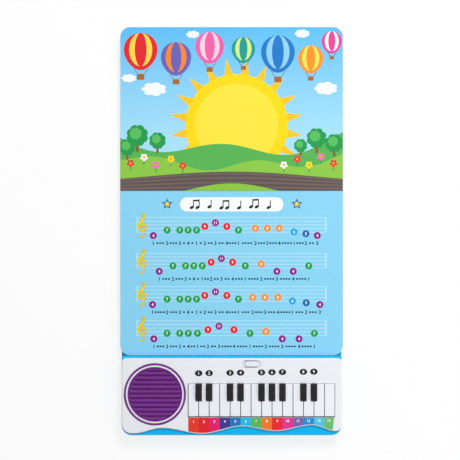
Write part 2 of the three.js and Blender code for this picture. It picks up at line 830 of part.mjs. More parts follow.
function makeSwitch() {
  const floor = panelTop - recessDepth;
  const knobBottom = floor + looseGap;
  const knobTop = knobBottom + knobHeight;
  const bodyTop = boardTop + switchBodyHeight;
  const stemBottom = bodyTop + looseGap;
  const leverTop = stemBottom + leverEngagement;
  const socket = leverSize / 2 + looseGap;
  const ridge = knobRidgeWidth / 2;
  const knob = prism(pill(switchX, switchY, knobLength, knobWidth, 4), knobBottom, knobTop)
    .add(block(switchX - ridge, switchX + ridge, switchY - knobWidth / 2 + 1, switchY + knobWidth / 2 - 1,
      knobTop - knobRidgeHeight, knobTop + knobRidgeHeight))
    .add(block(switchX - stemLength / 2, switchX + stemLength / 2, switchY - stemWidth / 2,
      switchY + stemWidth / 2, stemBottom, knobTop - knobRidgeHeight))
    .subtract(block(switchX - socket, switchX + socket, switchY - socket, switchY + socket,
      stemBottom - cutOverrun, leverTop + looseGap));
  piece('switch_knob', knob, materials.panelPlastic);

  const post = leverSize / 2;
  const foot = leverFootLength / 2;
  const footBottom = boardTop + looseGap;
  const lever = block(switchX - post, switchX + post, switchY - post, switchY + post, footBottom, leverTop)
    .add(block(switchX - foot, switchX + foot, switchY - post, switchY + post, footBottom,
      footBottom + leverFootHeight));
  piece('switch_lever', lever, materials.blackPlastic);

  const length = switchBodyLength / 2;
  const width = switchBodyWidth / 2;
  const body = block(switchX - length, switchX + length, switchY - width, switchY + width, boardTop, bodyTop)
    .subtract(block(switchX - length + switchBodyWall, switchX + length - switchBodyWall,
      switchY - width + switchBodyWall, switchY + width - switchBodyWall, boardTop - cutOverrun,
      bodyTop - switchBodyWall))
    .subtract(block(switchX - post - knobTravel - looseGap, switchX + post + knobTravel + looseGap,
      switchY - post - looseGap, switchY + post + looseGap, boardTop, bodyTop + cutOverrun));
  piece('slide_switch', body, materials.steel);
}

const chipX = boundaryX(3);
const leadZ = boardTop + leadRadius + looseGap;
const batteryRows = [bayMiddleY + batteryPitch / 2, bayMiddleY - batteryPitch / 2];

// The board runs under all the keys, with a tongue up to the switch.
const boardLeftX = keysLeftX - boardMargin;
const boardRightX = keysRightX + boardMargin;
const boardFrontY = openingBottomY - boardMargin;
const boardRearY = keyRearY + boardMargin;
const tongueHalf = switchBodyLength / 2 + boardMargin;
const tongueTopY = switchY + switchBodyWidth / 2 + boardMargin;
const standoffPlaces = [
  [boardLeftX + 2 * standoffRadius, boardFrontY + 2 * standoffRadius],
  [boardRightX - 2 * standoffRadius, boardFrontY + 2 * standoffRadius],
  [(boardLeftX + boardRightX) / 2, boardFrontY + 2 * standoffRadius],
  [boardRightX - 2 * standoffRadius, boardRearY - 2 * standoffRadius],
  [boardLeftX + 2 * standoffRadius, boardRearY - 2 * standoffRadius],
  [switchX, switchY],
];

function makeBoard() {
  const outline = new THREE.Shape([
    [boardLeftX, boardFrontY],
    [boardRightX, boardFrontY],
    [boardRightX, boardRearY],
    [switchX + tongueHalf, boardRearY],
    [switchX + tongueHalf, tongueTopY],
    [switchX - tongueHalf, tongueTopY],
    [switchX - tongueHalf, boardRearY],
    [boardLeftX, boardRearY],
  ].map(([x, y]) => new THREE.Vector2(x, y)));
  piece('circuit_board', upright(outline, boardBottom, boardTop), materials.fibreBoard);
  piece('chip_cover', turned(chipX, whitePlungerY, [
    [0, boardBottom - chipCoverHeight],
    [chipCoverRadius * 0.6, boardBottom - chipCoverHeight * 0.8],
    [chipCoverRadius, boardBottom],
    [0, boardBottom],
  ], smallSides), materials.epoxy);
}

function makeKeypad() {
  const sheet = block(keysLeftX + 1, keysRightX - 1, whitePlungerY - keypadMargin,
    blackPlungerY + keypadMargin, boardTop, keypadTop);
  const dome = (x, y) => solid(turned(x, y, [
    [0, boardTop],
    [domeRadius, boardTop],
    [domeRadius, keypadTop],
    [domeTopRadius, domeTop],
    [0, domeTop],
  ], 8));
  const domes = [];
  for (let index = 0; index < whiteKeyCount; index += 1) {
    domes.push(dome(boundaryX(index + 0.5), whitePlungerY));
  }
  for (const boundary of blackKeyBoundaries) {
    domes.push(dome(boundaryX(boundary), blackPlungerY));
  }
  piece('rubber_keypad', sheet.add(joined(domes)), materials.rubber);
}

// A cell lying across the book. facing is 1 with its nub to the right, -1 to the left.
function battery(flatEndX, y, facing) {
  const profile = [
    [0, 0],
    [batteryRadius, 0],
    [batteryRadius, batteryBody],
    [batteryNubRadius, batteryBody],
    [batteryNubRadius, batteryLength],
    [0, batteryLength],
  ].map(([radius, along]) => new THREE.Vector2(radius, along));
  const geometry = new THREE.LatheGeometry(profile, 16);
  return geometry.rotateZ(-facing * Math.PI / 2).translate(flatEndX, y, batteryZ);
}

// A flat contact standing in the bay, with its left face at x.
function contactPlate(x, front, rear) {
  const low = batteryZ - contactWidth / 2;
  return block(x, x + contactThickness, front, rear, low, low + contactWidth);
}

// A short tapering coil along X, which starts inside its own contact plate.
function contactCoil(startX, y, facing) {
  const coil = new THREE.Curve();
  const run = springLength - springWire - looseGap + contactThickness / 2;
  coil.getPoint = (share) => {
    const angle = share * springTurns * 2 * Math.PI;
    const radius = springRadius - springTaper * share;
    return new THREE.Vector3(
      startX + facing * run * share,
      y + radius * Math.cos(angle),
      batteryZ + radius * Math.sin(angle),
    );
  };
  const section = circle(0, 0, springWire, 5);
  return solid(new THREE.ExtrudeGeometry(section, { steps: springTurns * 10, extrudePath: coil }));
}

function makePower() {
  const [springRowY, plusRowY] = batteryRows;
  const leftPlateX = bayLeftX + looseGap;
  const rightPlateX = bayRightX - looseGap - contactThickness;
  const halfContact = contactWidth / 2;
  const leftFlatEndX = leftPlateX + contactThickness + springLength;
  const rightFlatEndX = rightPlateX - springLength;
  piece('battery_1', battery(leftFlatEndX, springRowY, 1), materials.batteryWrap);
  piece('battery_2', battery(rightFlatEndX, plusRowY, -1), materials.batteryWrap);
  piece('battery_contact_plus', contactPlate(leftPlateX, plusRowY - halfContact, plusRowY + halfContact),
    materials.tinnedSteel);
  piece('battery_spring_minus', contactPlate(leftPlateX, springRowY - halfContact, springRowY + halfContact)
    .add(contactCoil(leftPlateX + contactThickness / 2, springRowY, 1)), materials.tinnedSteel);
  piece('battery_link', contactPlate(rightPlateX, plusRowY - halfContact, springRowY + halfContact)
    .add(contactCoil(rightPlateX + contactThickness / 2, plusRowY, -1)), materials.tinnedSteel);

  const headSeat = doorBottom + screwHeadHeight + screwClearance;
  const headHole = screwHeadRadius + screwClearance;
  const shankHole = screwShankRadius + screwClearance;
  const door = prism(doorOutline(0), doorBottom, coverThickness)
    .subtract(post(doorScrewX, bayMiddleY, headHole, doorBottom - cutOverrun, headSeat))
    .subtract(post(doorScrewX, bayMiddleY, shankHole, doorBottom, coverThickness + cutOverrun));
  piece('battery_door', door, materials.casePlastic);
  const doorScrew = screw(doorScrewX, bayMiddleY, doorBottom + screwClearance / 2);
  piece('battery_door_screw', doorScrew, materials.steel);
}

// A soft lead through its points, square-cut at both ends.
function lead(name, points, look) {
  const route = new THREE.CatmullRomCurve3(points.map(([x, y, z]) => new THREE.Vector3(x, y, z)));
  piece(name, new THREE.ExtrudeGeometry(circle(0, 0, leadRadius, 8), {
    steps: 3 * (points.length - 1),
    extrudePath: route,
  }), look);
}

function makeLeads() {
  const solderZ = boardTop + leadEndGap;
  const looms = [
    ['red', materials.redLead, 0],
    ['black', materials.blackLead, 1],
  ];
  for (const [color, look, row] of looms) {
    const batteryY = batteryRows[row];
    const tongueX = switchX + tongueHalf - boardMargin / 2;
    lead(`battery_lead_${color}`, [
      [bayLeftX + looseGap - leadEndGap, batteryY, leadZ],
      [bayLeftX - bayWall, batteryY, leadZ],
      [(bayLeftX + tongueX) / 2, batteryY, leadZ + 1],
      [tongueX + 1, batteryY, leadZ + 1],
      [tongueX, batteryY, solderZ],
    ], look);

    const speakerLeadY = speakerY + (row ? -2 : 2);
    const terminalX = speakerX + speakerRadius + terminalReach / 2;
    const terminalZ = deckUnderside - speakerFlangeThickness - leadEndGap;
    const edgeX = boardLeftX + boardMargin / 2;
    lead(`speaker_lead_${color}`, [
      [terminalX, speakerLeadY, terminalZ],
      [terminalX + 0.5, speakerLeadY, terminalZ - 2],
      [(terminalX + edgeX) / 2, speakerLeadY, (terminalZ + solderZ) / 2],
      [edgeX - 0.5, speakerLeadY, solderZ + 2],
      [edgeX, speakerLeadY, solderZ],
    ], look);
  }
}

makeBook();
makeCase();
makePanel();
makeBase();
makeScrews();
makeKeys();
makeGrille();
makeSpeaker();
makeSwitch();
makeBoard();
makeKeypad();
makePower();
makeLeads();

export default book;
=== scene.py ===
import math
import bmesh
import bpy
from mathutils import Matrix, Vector


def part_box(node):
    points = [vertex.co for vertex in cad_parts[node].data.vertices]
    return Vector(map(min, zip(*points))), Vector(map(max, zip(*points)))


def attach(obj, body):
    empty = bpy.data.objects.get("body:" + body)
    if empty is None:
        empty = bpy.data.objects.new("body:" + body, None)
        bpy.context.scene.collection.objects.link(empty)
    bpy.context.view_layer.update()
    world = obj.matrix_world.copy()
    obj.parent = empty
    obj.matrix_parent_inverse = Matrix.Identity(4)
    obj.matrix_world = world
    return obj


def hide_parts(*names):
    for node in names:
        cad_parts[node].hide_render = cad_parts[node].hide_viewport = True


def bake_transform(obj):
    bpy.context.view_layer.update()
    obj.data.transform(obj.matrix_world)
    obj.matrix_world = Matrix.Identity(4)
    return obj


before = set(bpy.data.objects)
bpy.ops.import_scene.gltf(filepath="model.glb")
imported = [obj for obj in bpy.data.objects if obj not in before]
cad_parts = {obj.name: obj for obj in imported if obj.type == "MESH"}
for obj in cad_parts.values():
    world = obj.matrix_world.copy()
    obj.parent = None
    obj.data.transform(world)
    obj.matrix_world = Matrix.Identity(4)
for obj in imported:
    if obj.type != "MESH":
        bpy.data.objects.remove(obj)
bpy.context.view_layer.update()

mm = 0.001

# small helpers

def srgb(code):  # "#rrggbb" to the linear colour that Blender wants
    channels = [int(code[i:i + 2], 16) / 255 for i in (1, 3, 5)]
    return tuple(c / 12.92 if c <= 0.04045 else ((c + 0.055) / 1.055) ** 2.4 for c in channels) + (1.0,)


def addNode(tree, kind, inputs=None, **settings):
    node = tree.nodes.new(kind)
    for key, value in settings.items():
        setattr(node, key, value)
    for key, value in (inputs or {}).items():
        if isinstance(value, bpy.types.Node):  # a node stands for its first output
            value = value.outputs[0]
        if isinstance(value, bpy.types.NodeSocket):
            tree.links.new(value, node.inputs[key])
        else:
            node.inputs[key].default_value = value
    return node


def newMaterial(name):
    made = bpy.data.materials.new(name)
    made.use_nodes = True
    made.node_tree.nodes.clear()
    tree = made.node_tree
    shader = addNode(tree, "ShaderNodeBsdfPrincipled")
    addNode(tree, "ShaderNodeOutputMaterial", {"Surface": shader})
    place = addNode(tree, "ShaderNodeTexCoord").outputs["Object"]
    return made, tree, shader, place


def setShader(shader, **values):
    for key, value in values.items():
        shader.inputs[key.replace("_", " ")].default_value = value


def perMetre(size):  # noise scale whose features are about this many metres wide
    return 1 / size


def meshObject(name, mesh):
    made = bpy.data.objects.new(name, mesh)
    bpy.context.scene.collection.objects.link(made)
    return made


def smoothShade(made, angle=35):
    made.data.shade_smooth()
    made.data.set_sharp_from_angle(angle=math.radians(angle))
    weighted = made.modifiers.new("weightedNormals", "WEIGHTED_NORMAL")
    weighted.keep_sharp = True


def mathNode(tree, operation, *values):
    return addNode(tree, "ShaderNodeMath", dict(enumerate(values)), operation=operation)


def solidObject(name, shape, *materials):  # a finished bmesh becomes an object
    mesh = bpy.data.meshes.new(name)
    shape.to_mesh(mesh)
    shape.free()
    for material in materials:
        mesh.materials.append(material)
    return meshObject(name, mesh)


def fitted(made, body, slot, *nodes):  # a finished piece joins its body, in place of the nodes it stands for
    if nodes:
        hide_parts(*nodes)
    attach(made, body)
    return made


# materials, each named for the real stuff and how its surface was made

def noise(tree, place, size, detail, roughness=0.5):
    return addNode(tree, "ShaderNodeTexNoise", {"Vector": place, "Scale": perMetre(size), "Detail": detail,
                                                "Roughness": roughness})


def colourBetween(tree, shader, factor, first, second):
    colour = addNode(tree, "ShaderNodeMix", {"Factor": factor, "A": first, "B": second}, data_type="RGBA")
    tree.links.new(colour.outputs["Result"], shader.inputs["Base Color"])


def glossAbout(tree, shader, value, roughness, look):
    smoother, rougher = look["gloss"]
    gloss = addNode(tree, "ShaderNodeMapRange", {"Value": value, "To Min": roughness - smoother,
                                                 "To Max": roughness + rougher})
    tree.links.new(gloss.outputs["Result"], shader.inputs["Roughness"])


def surface(name, look, first, second, roughness, bump, **values):
    # slow patches run the colour from first to second and vary the gloss, and a fine grain gives the relief
    made, tree, shader, place = newMaterial(name)
    if "stretch" in look:
        place = addNode(tree, "ShaderNodeMapping", {"Vector": place, "Scale": look["stretch"]})
    patch, grain = noise(tree, place, *look["patch"]), noise(tree, place, *look["grain"])
    colourBetween(tree, shader, patch, first, second)
    relief = addNode(tree, "ShaderNodeBump", {"Height": grain, "Strength": bump, "Distance": look["depth"]})
    tree.links.new(relief.outputs["Normal"], shader.inputs["Normal"])
    if "gloss" in look:
        glossAbout(tree, shader, patch, roughness, look)
    else:
        setShader(shader, Roughness=roughness)
    setShader(shader, **values)
    return made


def shaded(colour, share):
    return tuple(c * share for c in colour[:3]) + (1.0,)


# the size of each noise in metres, its detail and roughness; the relief's depth; the spread of the gloss
mouldLook = {"patch": (28 * mm, 3.0), "grain": (0.35 * mm, 2.0, 0.6), "depth": 0.05 * mm,
             "gloss": (0.05, 0.06)}
inkLook = {"patch": (3.5 * mm, 4.0), "grain": (0.6 * mm, 3.0), "depth": 0.03 * mm, "gloss": (0.04, 0.05)}
wrapLook = {"patch": (45 * mm, 2.0), "grain": (2.2 * mm, 3.0), "depth": 0.04 * mm}
boardLook = {"patch": (1.0, 4.0), "grain": (1.0, 4.0), "depth": 0.03 * mm,
             "stretch": (25.0, 25.0, perMetre(0.3 * mm))}
steelLook = {"stretch": (120.0, 2500.0, 2500.0), "gloss": (0.08, 0.1)}
skyLook = {"pale": "#a6def7", "full": "#5ab9ee", "paleUpTo": 60 * mm}


def mouldedPlastic(name, code, roughness=0.38, bump=0.05, tint=0.04, sheen=0.3):
    # injection-moulded ABS: even colour, a very fine spark-eroded grain and slow gloss patches
    base = srgb(code)
    return surface(name, mouldLook, base, shaded(base, 1 - tint), roughness, bump,
                   IOR=1.54, Specular_IOR_Level=sheen)


def plainStuff(name, code, roughness, grain=0.8 * mm, bump=0.2):
    # matte inner stuff: rubber, ferrite, epoxy, PVC or pressed paper, told apart by grain and colour
    look = {"patch": (grain, 3.0), "grain": (grain, 3.0), "depth": 0.08 * mm}
    return surface(name, look, srgb(code), shaded(srgb(code), 0.82), roughness, bump)


inkCache = {}


def offsetInk(name, code, roughness=0.42):
    # offset ink on coated board under a thin gloss film: faint paper mottle and fibre relief
    if name not in inkCache:
        base = srgb(code)
        worn = tuple(min(1.0, c * 0.93 + 0.004) for c in base[:3]) + (1.0,)
        inkCache[name] = surface("offsetInk" + name, inkLook, base, worn, roughness, 0.03,
                                 IOR=1.5, Specular_IOR_Level=0.2)
    return inkCache[name]


def skyInk():
    # one printed blend: pale blue above the hills to a fuller blue at the top edge
    made, tree, shader, place = newMaterial("offsetInkSkyBlend")
    split = addNode(tree, "ShaderNodeSeparateXYZ", {"Vector": place})
    low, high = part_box("upper_pages")
    height = addNode(tree, "ShaderNodeMapRange", {"Value": split.outputs["Y"], "From Max": high.y,
                                                  "From Min": low.y + skyLook["paleUpTo"]})
    colourBetween(tree, shader, height, srgb(skyLook["pale"]), srgb(skyLook["full"]))
    setShader(shader, IOR=1.5, Roughness=0.42, Specular_IOR_Level=0.2)
    return made


def rolledSteel(name, code, roughness):
    # zinc or nickel plated sheet and wire: fine rolling scratches along X
    made, tree, shader, place = newMaterial(name)
    stretch = addNode(tree, "ShaderNodeMapping", {"Vector": place, "Scale": steelLook["stretch"]})
    glossAbout(tree, shader, noise(tree, stretch, 1.0, 3.0), roughness, steelLook)
    setShader(shader, Base_Color=srgb(code), Metallic=1.0)
    return made


# printed cyan paper under a gloss laminate: an orange-peel ripple and slow paler patches
wrap = surface("laminatedCoverWrap", wrapLook, srgb("#00b4ee"), srgb("#00a9e4"), 0.28, 0.08,
               IOR=1.5, Specular_IOR_Level=0.25)
# white coated grey board: the cut edges show its pressed layers
boardStock = surface("coatedPageBoard", boardLook, srgb("#f6f5f1"), srgb("#e4e2db"), 0.6, 0.06, IOR=1.5)
cyanAbs = mouldedPlastic("cyanMouldedAbs", "#00b6ee", 0.36, sheen=0.2)
whiteAbs = mouldedPlastic("whiteMouldedAbs", "#eceef3", 0.34, tint=0.025)
keyWhiteAbs = mouldedPlastic("whiteKeyPolishedAbs", "#eff2f8", 0.22, bump=0.02, tint=0.02)
keyBlackAbs = mouldedPlastic("blackKeySatinAbs", "#171518", 0.33, bump=0.04, sheen=0.2)
purpleAbs = mouldedPlastic("purpleMouldedAbs", "#762d8b", 0.45, bump=0.08, sheen=0.2)
zincSteel = rolledSteel("zincPlatedSteel", "#b9bbbe", 0.38)
nickelSteel = rolledSteel("nickelPlatedSpringSteel", "#cbcac4", 0.28)
print("materials made")


# camera: straight above the open book, as the photograph looks at it

view = {
    "photoWidth": 460,
    "millimetresPerPixel": 1.188,  # at the pages' top face
    "height": 1600 * mm,           # above the pages
    "centreX": -1.9 * mm,
    "centreY": 1.2 * mm,
    "sensorWidth": 36.0, "clipNear": 0.05, "clipFar": 20.0,
}


def makeCamera():
    data = bpy.data.cameras.new("camera")
    data.sensor_width = view["sensorWidth"]
    data.sensor_fit = "HORIZONTAL"
    span = view["photoWidth"] * view["millimetresPerPixel"] * mm
    data.lens = data.sensor_width * view["height"] / span
    data.clip_start = view["clipNear"]
    data.clip_end = view["clipFar"]
    camera = bpy.data.objects.new("camera", data)
    camera.location = (view["centreX"], view["centreY"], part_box("lower_pages")[1].z + view["height"])
    bpy.context.scene.collection.objects.link(camera)
    bpy.context.scene.camera = camera


studio = {
    "keyPower": 30.0, "keyPlace": (0.4, 1.3, 1.6), "keySize": 0.6,
    "fillPower": 3.1, "fillPlace": (0.85, -0.38, 0.68), "fillSize": 0.65,
    "aim": (0.0, -0.02, 0.0),
    "worldStrength": 0.385,
    "floorReach": 6.0, "floorLevel": -0.2 * mm, "floorColour": (0.93, 0.93, 0.93, 1.0), "floorRoughness": 0.9,
    "floorGlow": 0.78,  # how much of the floor the camera sees as plain white, under the shadow
}


def makeLights():
    bpy.context.scene.view_settings.view_transform = "Standard"
    for name in ("key", "fill"):
        lamp = bpy.data.lights.new(name + "Light", "AREA")
        lamp.energy = studio[name + "Power"]
        lamp.size = studio[name + "Size"]
        holder = bpy.data.objects.new(name + "Light", lamp)
        holder.location = studio[name + "Place"]
        aim = Vector(studio["aim"]) - holder.location
        holder.rotation_euler = aim.to_track_quat("-Z", "Y").to_euler()
        bpy.context.scene.collection.objects.link(holder)


def makeWorld():
    world = bpy.data.worlds.new("paleStudio")
    bpy.context.scene.world = world
    world.use_nodes = True
    tree = world.node_tree
    tree.nodes.clear()
    rays = addNode(tree, "ShaderNodeLightPath").outputs
    direct = mathNode(tree, "MAXIMUM", rays["Is Camera Ray"], rays["Is Transmission Ray"])
    seen = mathNode(tree, "MAXIMUM", direct, rays["Is Glossy Ray"])
    light, white = [addNode(tree, "ShaderNodeBackground", {"Color": (1, 1, 1, 1), "Strength": strength})
                    for strength in (studio["worldStrength"], 1.0)]
    mix = addNode(tree, "ShaderNodeMixShader", {0: seen, 1: light, 2: white})
    addNode(tree, "ShaderNodeOutputWorld", {"Surface": mix})


def makeFloor():
    reach, level = studio["floorReach"], studio["floorLevel"]
    corners = [(-reach, -reach, level), (reach, -reach, level), (reach, reach, level), (-reach, reach, level)]
    mesh = bpy.data.meshes.new("floor")
    mesh.from_pydata(corners, [], [(0, 1, 2, 3)])
    floor = meshObject("floor", mesh)
    made, tree, shader, _ = newMaterial("paleFloor")
    setShader(shader, Base_Color=studio["floorColour"], Roughness=studio["floorRoughness"])
    rays = addNode(tree, "ShaderNodeLightPath").outputs
    share = mathNode(tree, "MULTIPLY", rays["Is Camera Ray"], studio["floorGlow"])
    glow = addNode(tree, "ShaderNodeEmission", {"Color": (1, 1, 1, 1), "Strength": 1.0})
    mix = addNode(tree, "ShaderNodeMixShader", {0: share, 1: shader, 2: glow})
    tree.links.new(mix.outputs["Shader"], tree.nodes["Material Output"].inputs["Surface"])
    mesh.materials.append(made)


makeCamera()
makeLights()
makeWorld()
makeFloor()
print("camera and studio made")


# rounded copies of the moulded and wrapped pieces

copying = {"weld": 2e-7, "flatAngle": 0.6, "sliver": 1e-7}


def roundEdges(shape, edges, width, segments):
    bmesh.ops.bevel(shape, geom=edges, offset=width, offset_type="OFFSET", segments=segments, profile=0.5,
                    affect="EDGES", clamp_overlap=True)


def softened(node, name, material, width, segments=3, picks=None, angle=35, shadeAngle=35):
    shape = bmesh.new()
    shape.from_mesh(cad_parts[node].data)
    bmesh.ops.remove_doubles(shape, verts=shape.verts, dist=copying["weld"])
    bmesh.ops.dissolve_limit(shape, angle_limit=math.radians(copying["flatAngle"]), verts=shape.verts,
                             edges=shape.edges, use_dissolve_boundaries=False)
    sharp = [edge for edge in shape.edges if len(edge.link_faces) == 2
             and edge.calc_face_angle(0) > math.radians(angle) and edge.is_convex
             and (picks is None or picks(edge))]
    roundEdges(shape, sharp, width, segments)
    bmesh.ops.dissolve_degenerate(shape, dist=copying["sliver"], edges=shape.edges)
    made = solidObject(name, shape, material)
    smoothShade(made, shadeAngle)
    return made


def above(level):
    return lambda edge: min(v.co.z for v in edge.verts) > level


coverLook = {"edgeRadius": 0.7 * mm, "sharpAngle": 60}


def makeCovers():
    for node, name, body in (("front_cover", "frontCoverBoard", "cover"),
                             ("back_cover", "backCoverBoard", "book")):
        board = softened(node, name, wrap, coverLook["edgeRadius"], angle=coverLook["sharpAngle"])
        fitted(board, body, "cover_wrap", node)


makeCovers()
print("covers made")


# pages: five bevelled leaves a side

leafLook = {"count": 5, "thickness": 1.5 * mm, "groove": 0.3 * mm, "cornerRadius": 12 * mm, "cornerSteps": 14,
            "edgeRadius": 0.25 * mm, "hiddenNear": 1.45 * mm, "topNear": 0.15 * mm,
            "coreNear": 0.1 * mm, "coreInset": 0.8 * mm, "coreLift": 0.3 * mm, "level": 1e-7}


def arcPoints(x, y, radius, start, stop, steps):
    angles = [math.radians(start + (stop - start) * i / steps) for i in range(steps + 1)]
    return [(x + radius * math.cos(angle), y + radius * math.sin(angle)) for angle in angles]


lowerLow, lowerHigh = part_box("lower_pages")
upperLow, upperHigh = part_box("upper_pages")
foldY = (lowerHigh.y + upperLow.y) / 2
pageTop = lowerHigh.z
pageHalf = lowerHigh.x
pageReach = upperHigh.y - foldY


def leafOutline(side, near, inset=0.0):
    edge = pageHalf - inset
    far = pageReach - inset
    radius = leafLook["cornerRadius"] - inset
    steps = leafLook["cornerSteps"]
    points = [(-edge, near), (edge, near)]
    points += arcPoints(edge - radius, far - radius, radius, 0, 90, steps)
    points += arcPoints(radius - edge, far - radius, radius, 90, 180, steps)
    placed = [(x, foldY + side * y) for x, y in points]
    return placed if side > 0 else placed[::-1]


def prismInto(shape, points, low, high, slot=0):
    bottom = [shape.verts.new((x, y, low)) for x, y in points]
    top = [shape.verts.new((x, y, high)) for x, y in points]
    faces = [shape.faces.new(top), shape.faces.new(bottom[::-1])]
    count = len(points)
    for i in range(count):
        after = (i + 1) % count
        faces.append(shape.faces.new((bottom[i], bottom[after], top[after], top[i])))
    for face in faces:
        face.material_index = slot
    return faces


def loftInto(shape, rings):  # rings of corners in a row, joined and closed at both ends
    faces = [shape.faces.new(rings[0]), shape.faces.new(rings[-1][::-1])]
    for first, second in zip(rings, rings[1:]):
        for i in range(len(first)):
            j = (i + 1) % len(first)
            faces.append(shape.faces.new((first[j], first[i], second[i], second[j])))
    return faces


def bandInto(shape, rings):  # rings of corners that follow one another in a loop
    for first, second in zip(rings, rings[1:] + rings[:1]):
        for i in range(len(first)):
            j = (i + 1) % len(first)
            shape.faces.new((first[i], second[i], second[j], first[j]))


def prismObject(name, points, low, high, material):
    shape = bmesh.new()
    prismInto(shape, points, low, high)
    return solidObject(name, shape, material)


def leafObject(name, side, near, low, high):
    shape = bmesh.new()
    prismInto(shape, leafOutline(side, near), low, high)
    rims = [edge for edge in shape.edges if abs(edge.verts[0].co.z - edge.verts[1].co.z) < leafLook["level"]]
    roundEdges(shape, rims, leafLook["edgeRadius"], 2)
    return solidObject(name, shape, boardStock)


def newTree(name, sockets):
    tree = bpy.data.node_groups.new(name, "GeometryNodeTree")
    tree.interface.new_socket("Geometry", in_out="INPUT", socket_type="NodeSocketGeometry")
    for label, kind, value in sockets:
        tree.interface.new_socket(label, in_out="INPUT", socket_type=kind).default_value = value
    tree.interface.new_socket("Geometry", in_out="OUTPUT", socket_type="NodeSocketGeometry")
    return tree, addNode(tree, "NodeGroupInput"), addNode(tree, "NodeGroupOutput")


def finishTree(tree, output, geometry, material):
    real = addNode(tree, "GeometryNodeRealizeInstances", {"Geometry": geometry})
    painted = addNode(tree, "GeometryNodeSetMaterial", {"Geometry": real, "Material": material})
    tree.links.new(painted.outputs["Geometry"], output.inputs["Geometry"])


def grown(carrier, tree, values=None):  # the tree's result as a plain mesh object in place of its carrier
    modifier = carrier.modifiers.new("grow", "NODES")
    modifier.node_group = tree
    for item in tree.interface.items_tree:
        if item.item_type == "SOCKET" and item.in_out == "INPUT" and item.name in (values or {}):
            modifier[item.identifier] = values[item.name]
    evaluated = carrier.evaluated_get(bpy.context.evaluated_depsgraph_get())
    mesh = bpy.data.meshes.new_from_object(evaluated)
    carrier.modifiers.remove(modifier)
    old = carrier.data
    carrier.data = mesh
    bpy.data.meshes.remove(old)
    mesh.name = carrier.name
    return carrier


def leafStackTree():
    tree, given, output = newTree("leafStack", [
        ("Leaf count", "NodeSocketInt", 4), ("Leaf pitch", "NodeSocketFloat", 1.5 * mm)])
    asked = given.outputs
    step = addNode(tree, "ShaderNodeCombineXYZ", {"Z": asked["Leaf pitch"]})
    line = addNode(tree, "GeometryNodeMeshLine", {"Count": asked["Leaf count"], "Offset": step})
    copies = addNode(tree, "GeometryNodeInstanceOnPoints", {"Points": line, "Instance": asked["Geometry"]})
    finishTree(tree, output, copies, boardStock)
    return tree


def joinedObject(name, parts):
    shape = bmesh.new()
    for part in parts:
        shape.from_mesh(part.data)
    materials = list(parts[0].data.materials)
    for part in parts:
        bpy.data.objects.remove(part)
    return solidObject(name, shape, *materials)


def makePages():
    look = leafLook
    tree = leafStackTree()
    pitch = look["thickness"]
    start = lowerLow.z
    for side, node, name, body in ((-1, "lower_pages", "lowerPageStack", "book"),
                                   (1, "upper_pages", "upperPageStack", "cover")):
        leaf = leafObject(name + "Leaf", side, look["hiddenNear"], start, start + pitch - look["groove"])
        stack = grown(leaf, tree, {"Leaf count": look["count"] - 1, "Leaf pitch": pitch})
        top = leafObject(name + "Top", side, look["topNear"], pageTop - pitch, pageTop)
        outline = leafOutline(side, look["hiddenNear"] + look["coreNear"], look["coreInset"])
        core = prismObject(name + "Core", outline, start + look["coreLift"],
                           pageTop - pitch + look["coreLift"], boardStock)
        pages = joinedObject(name, [top, stack, core])
        smoothShade(pages)
        fitted(pages, body, "page_board", node)


makePages()
print("pages made")


# printing: every ink is a thin closed solid, a few hundredths of a millimetre proud of the one below

inkStep = 0.03 * mm
figureLook = {"weight": 0.028, "curveSteps": 3, "depth": 1.0, "weld": 1e-4}
glyphCache = {}


def glyph(text):  # the figures' solid, one unit high and centred, with its foot at 0
    if text in glyphCache:
        return glyphCache[text]
    data = bpy.data.curves.new("figures", "FONT")
    data.body = text
    data.resolution_u = figureLook["curveSteps"]
    data.offset = figureLook["weight"]
    data.extrude = figureLook["depth"] / 2
    holder = meshObject("figures", data)
    mesh = bpy.data.meshes.new_from_object(holder.evaluated_get(bpy.context.evaluated_depsgraph_get()))
    shape = bmesh.new()
    shape.from_mesh(mesh)
    bmesh.ops.remove_doubles(shape, verts=shape.verts, dist=figureLook["weld"])
    shape.verts.index_update()
    corners = [v.co.copy() for v in shape.verts]
    faces = [[v.index for v in face.verts] for face in shape.faces]
    shape.free()
    bpy.data.objects.remove(holder)
    bpy.data.curves.remove(data)
    bpy.data.meshes.remove(mesh)
    low = Vector([min(c[i] for c in corners) for i in range(3)])
    high = Vector([max(c[i] for c in corners) for i in range(3)])
    middle = (low + high) / 2
    size = high.y - low.y
    foot = figureLook["depth"] / 2
    glyphCache[text] = ([((c.x - middle.x) / size, (c.y - middle.y) / size, c.z + foot) for c in corners],
                        faces)
    return glyphCache[text]


def signedArea(points):
    return sum(a[0] * b[1] - b[0] * a[1] for a, b in zip(points, points[1:] + points[:1])) / 2


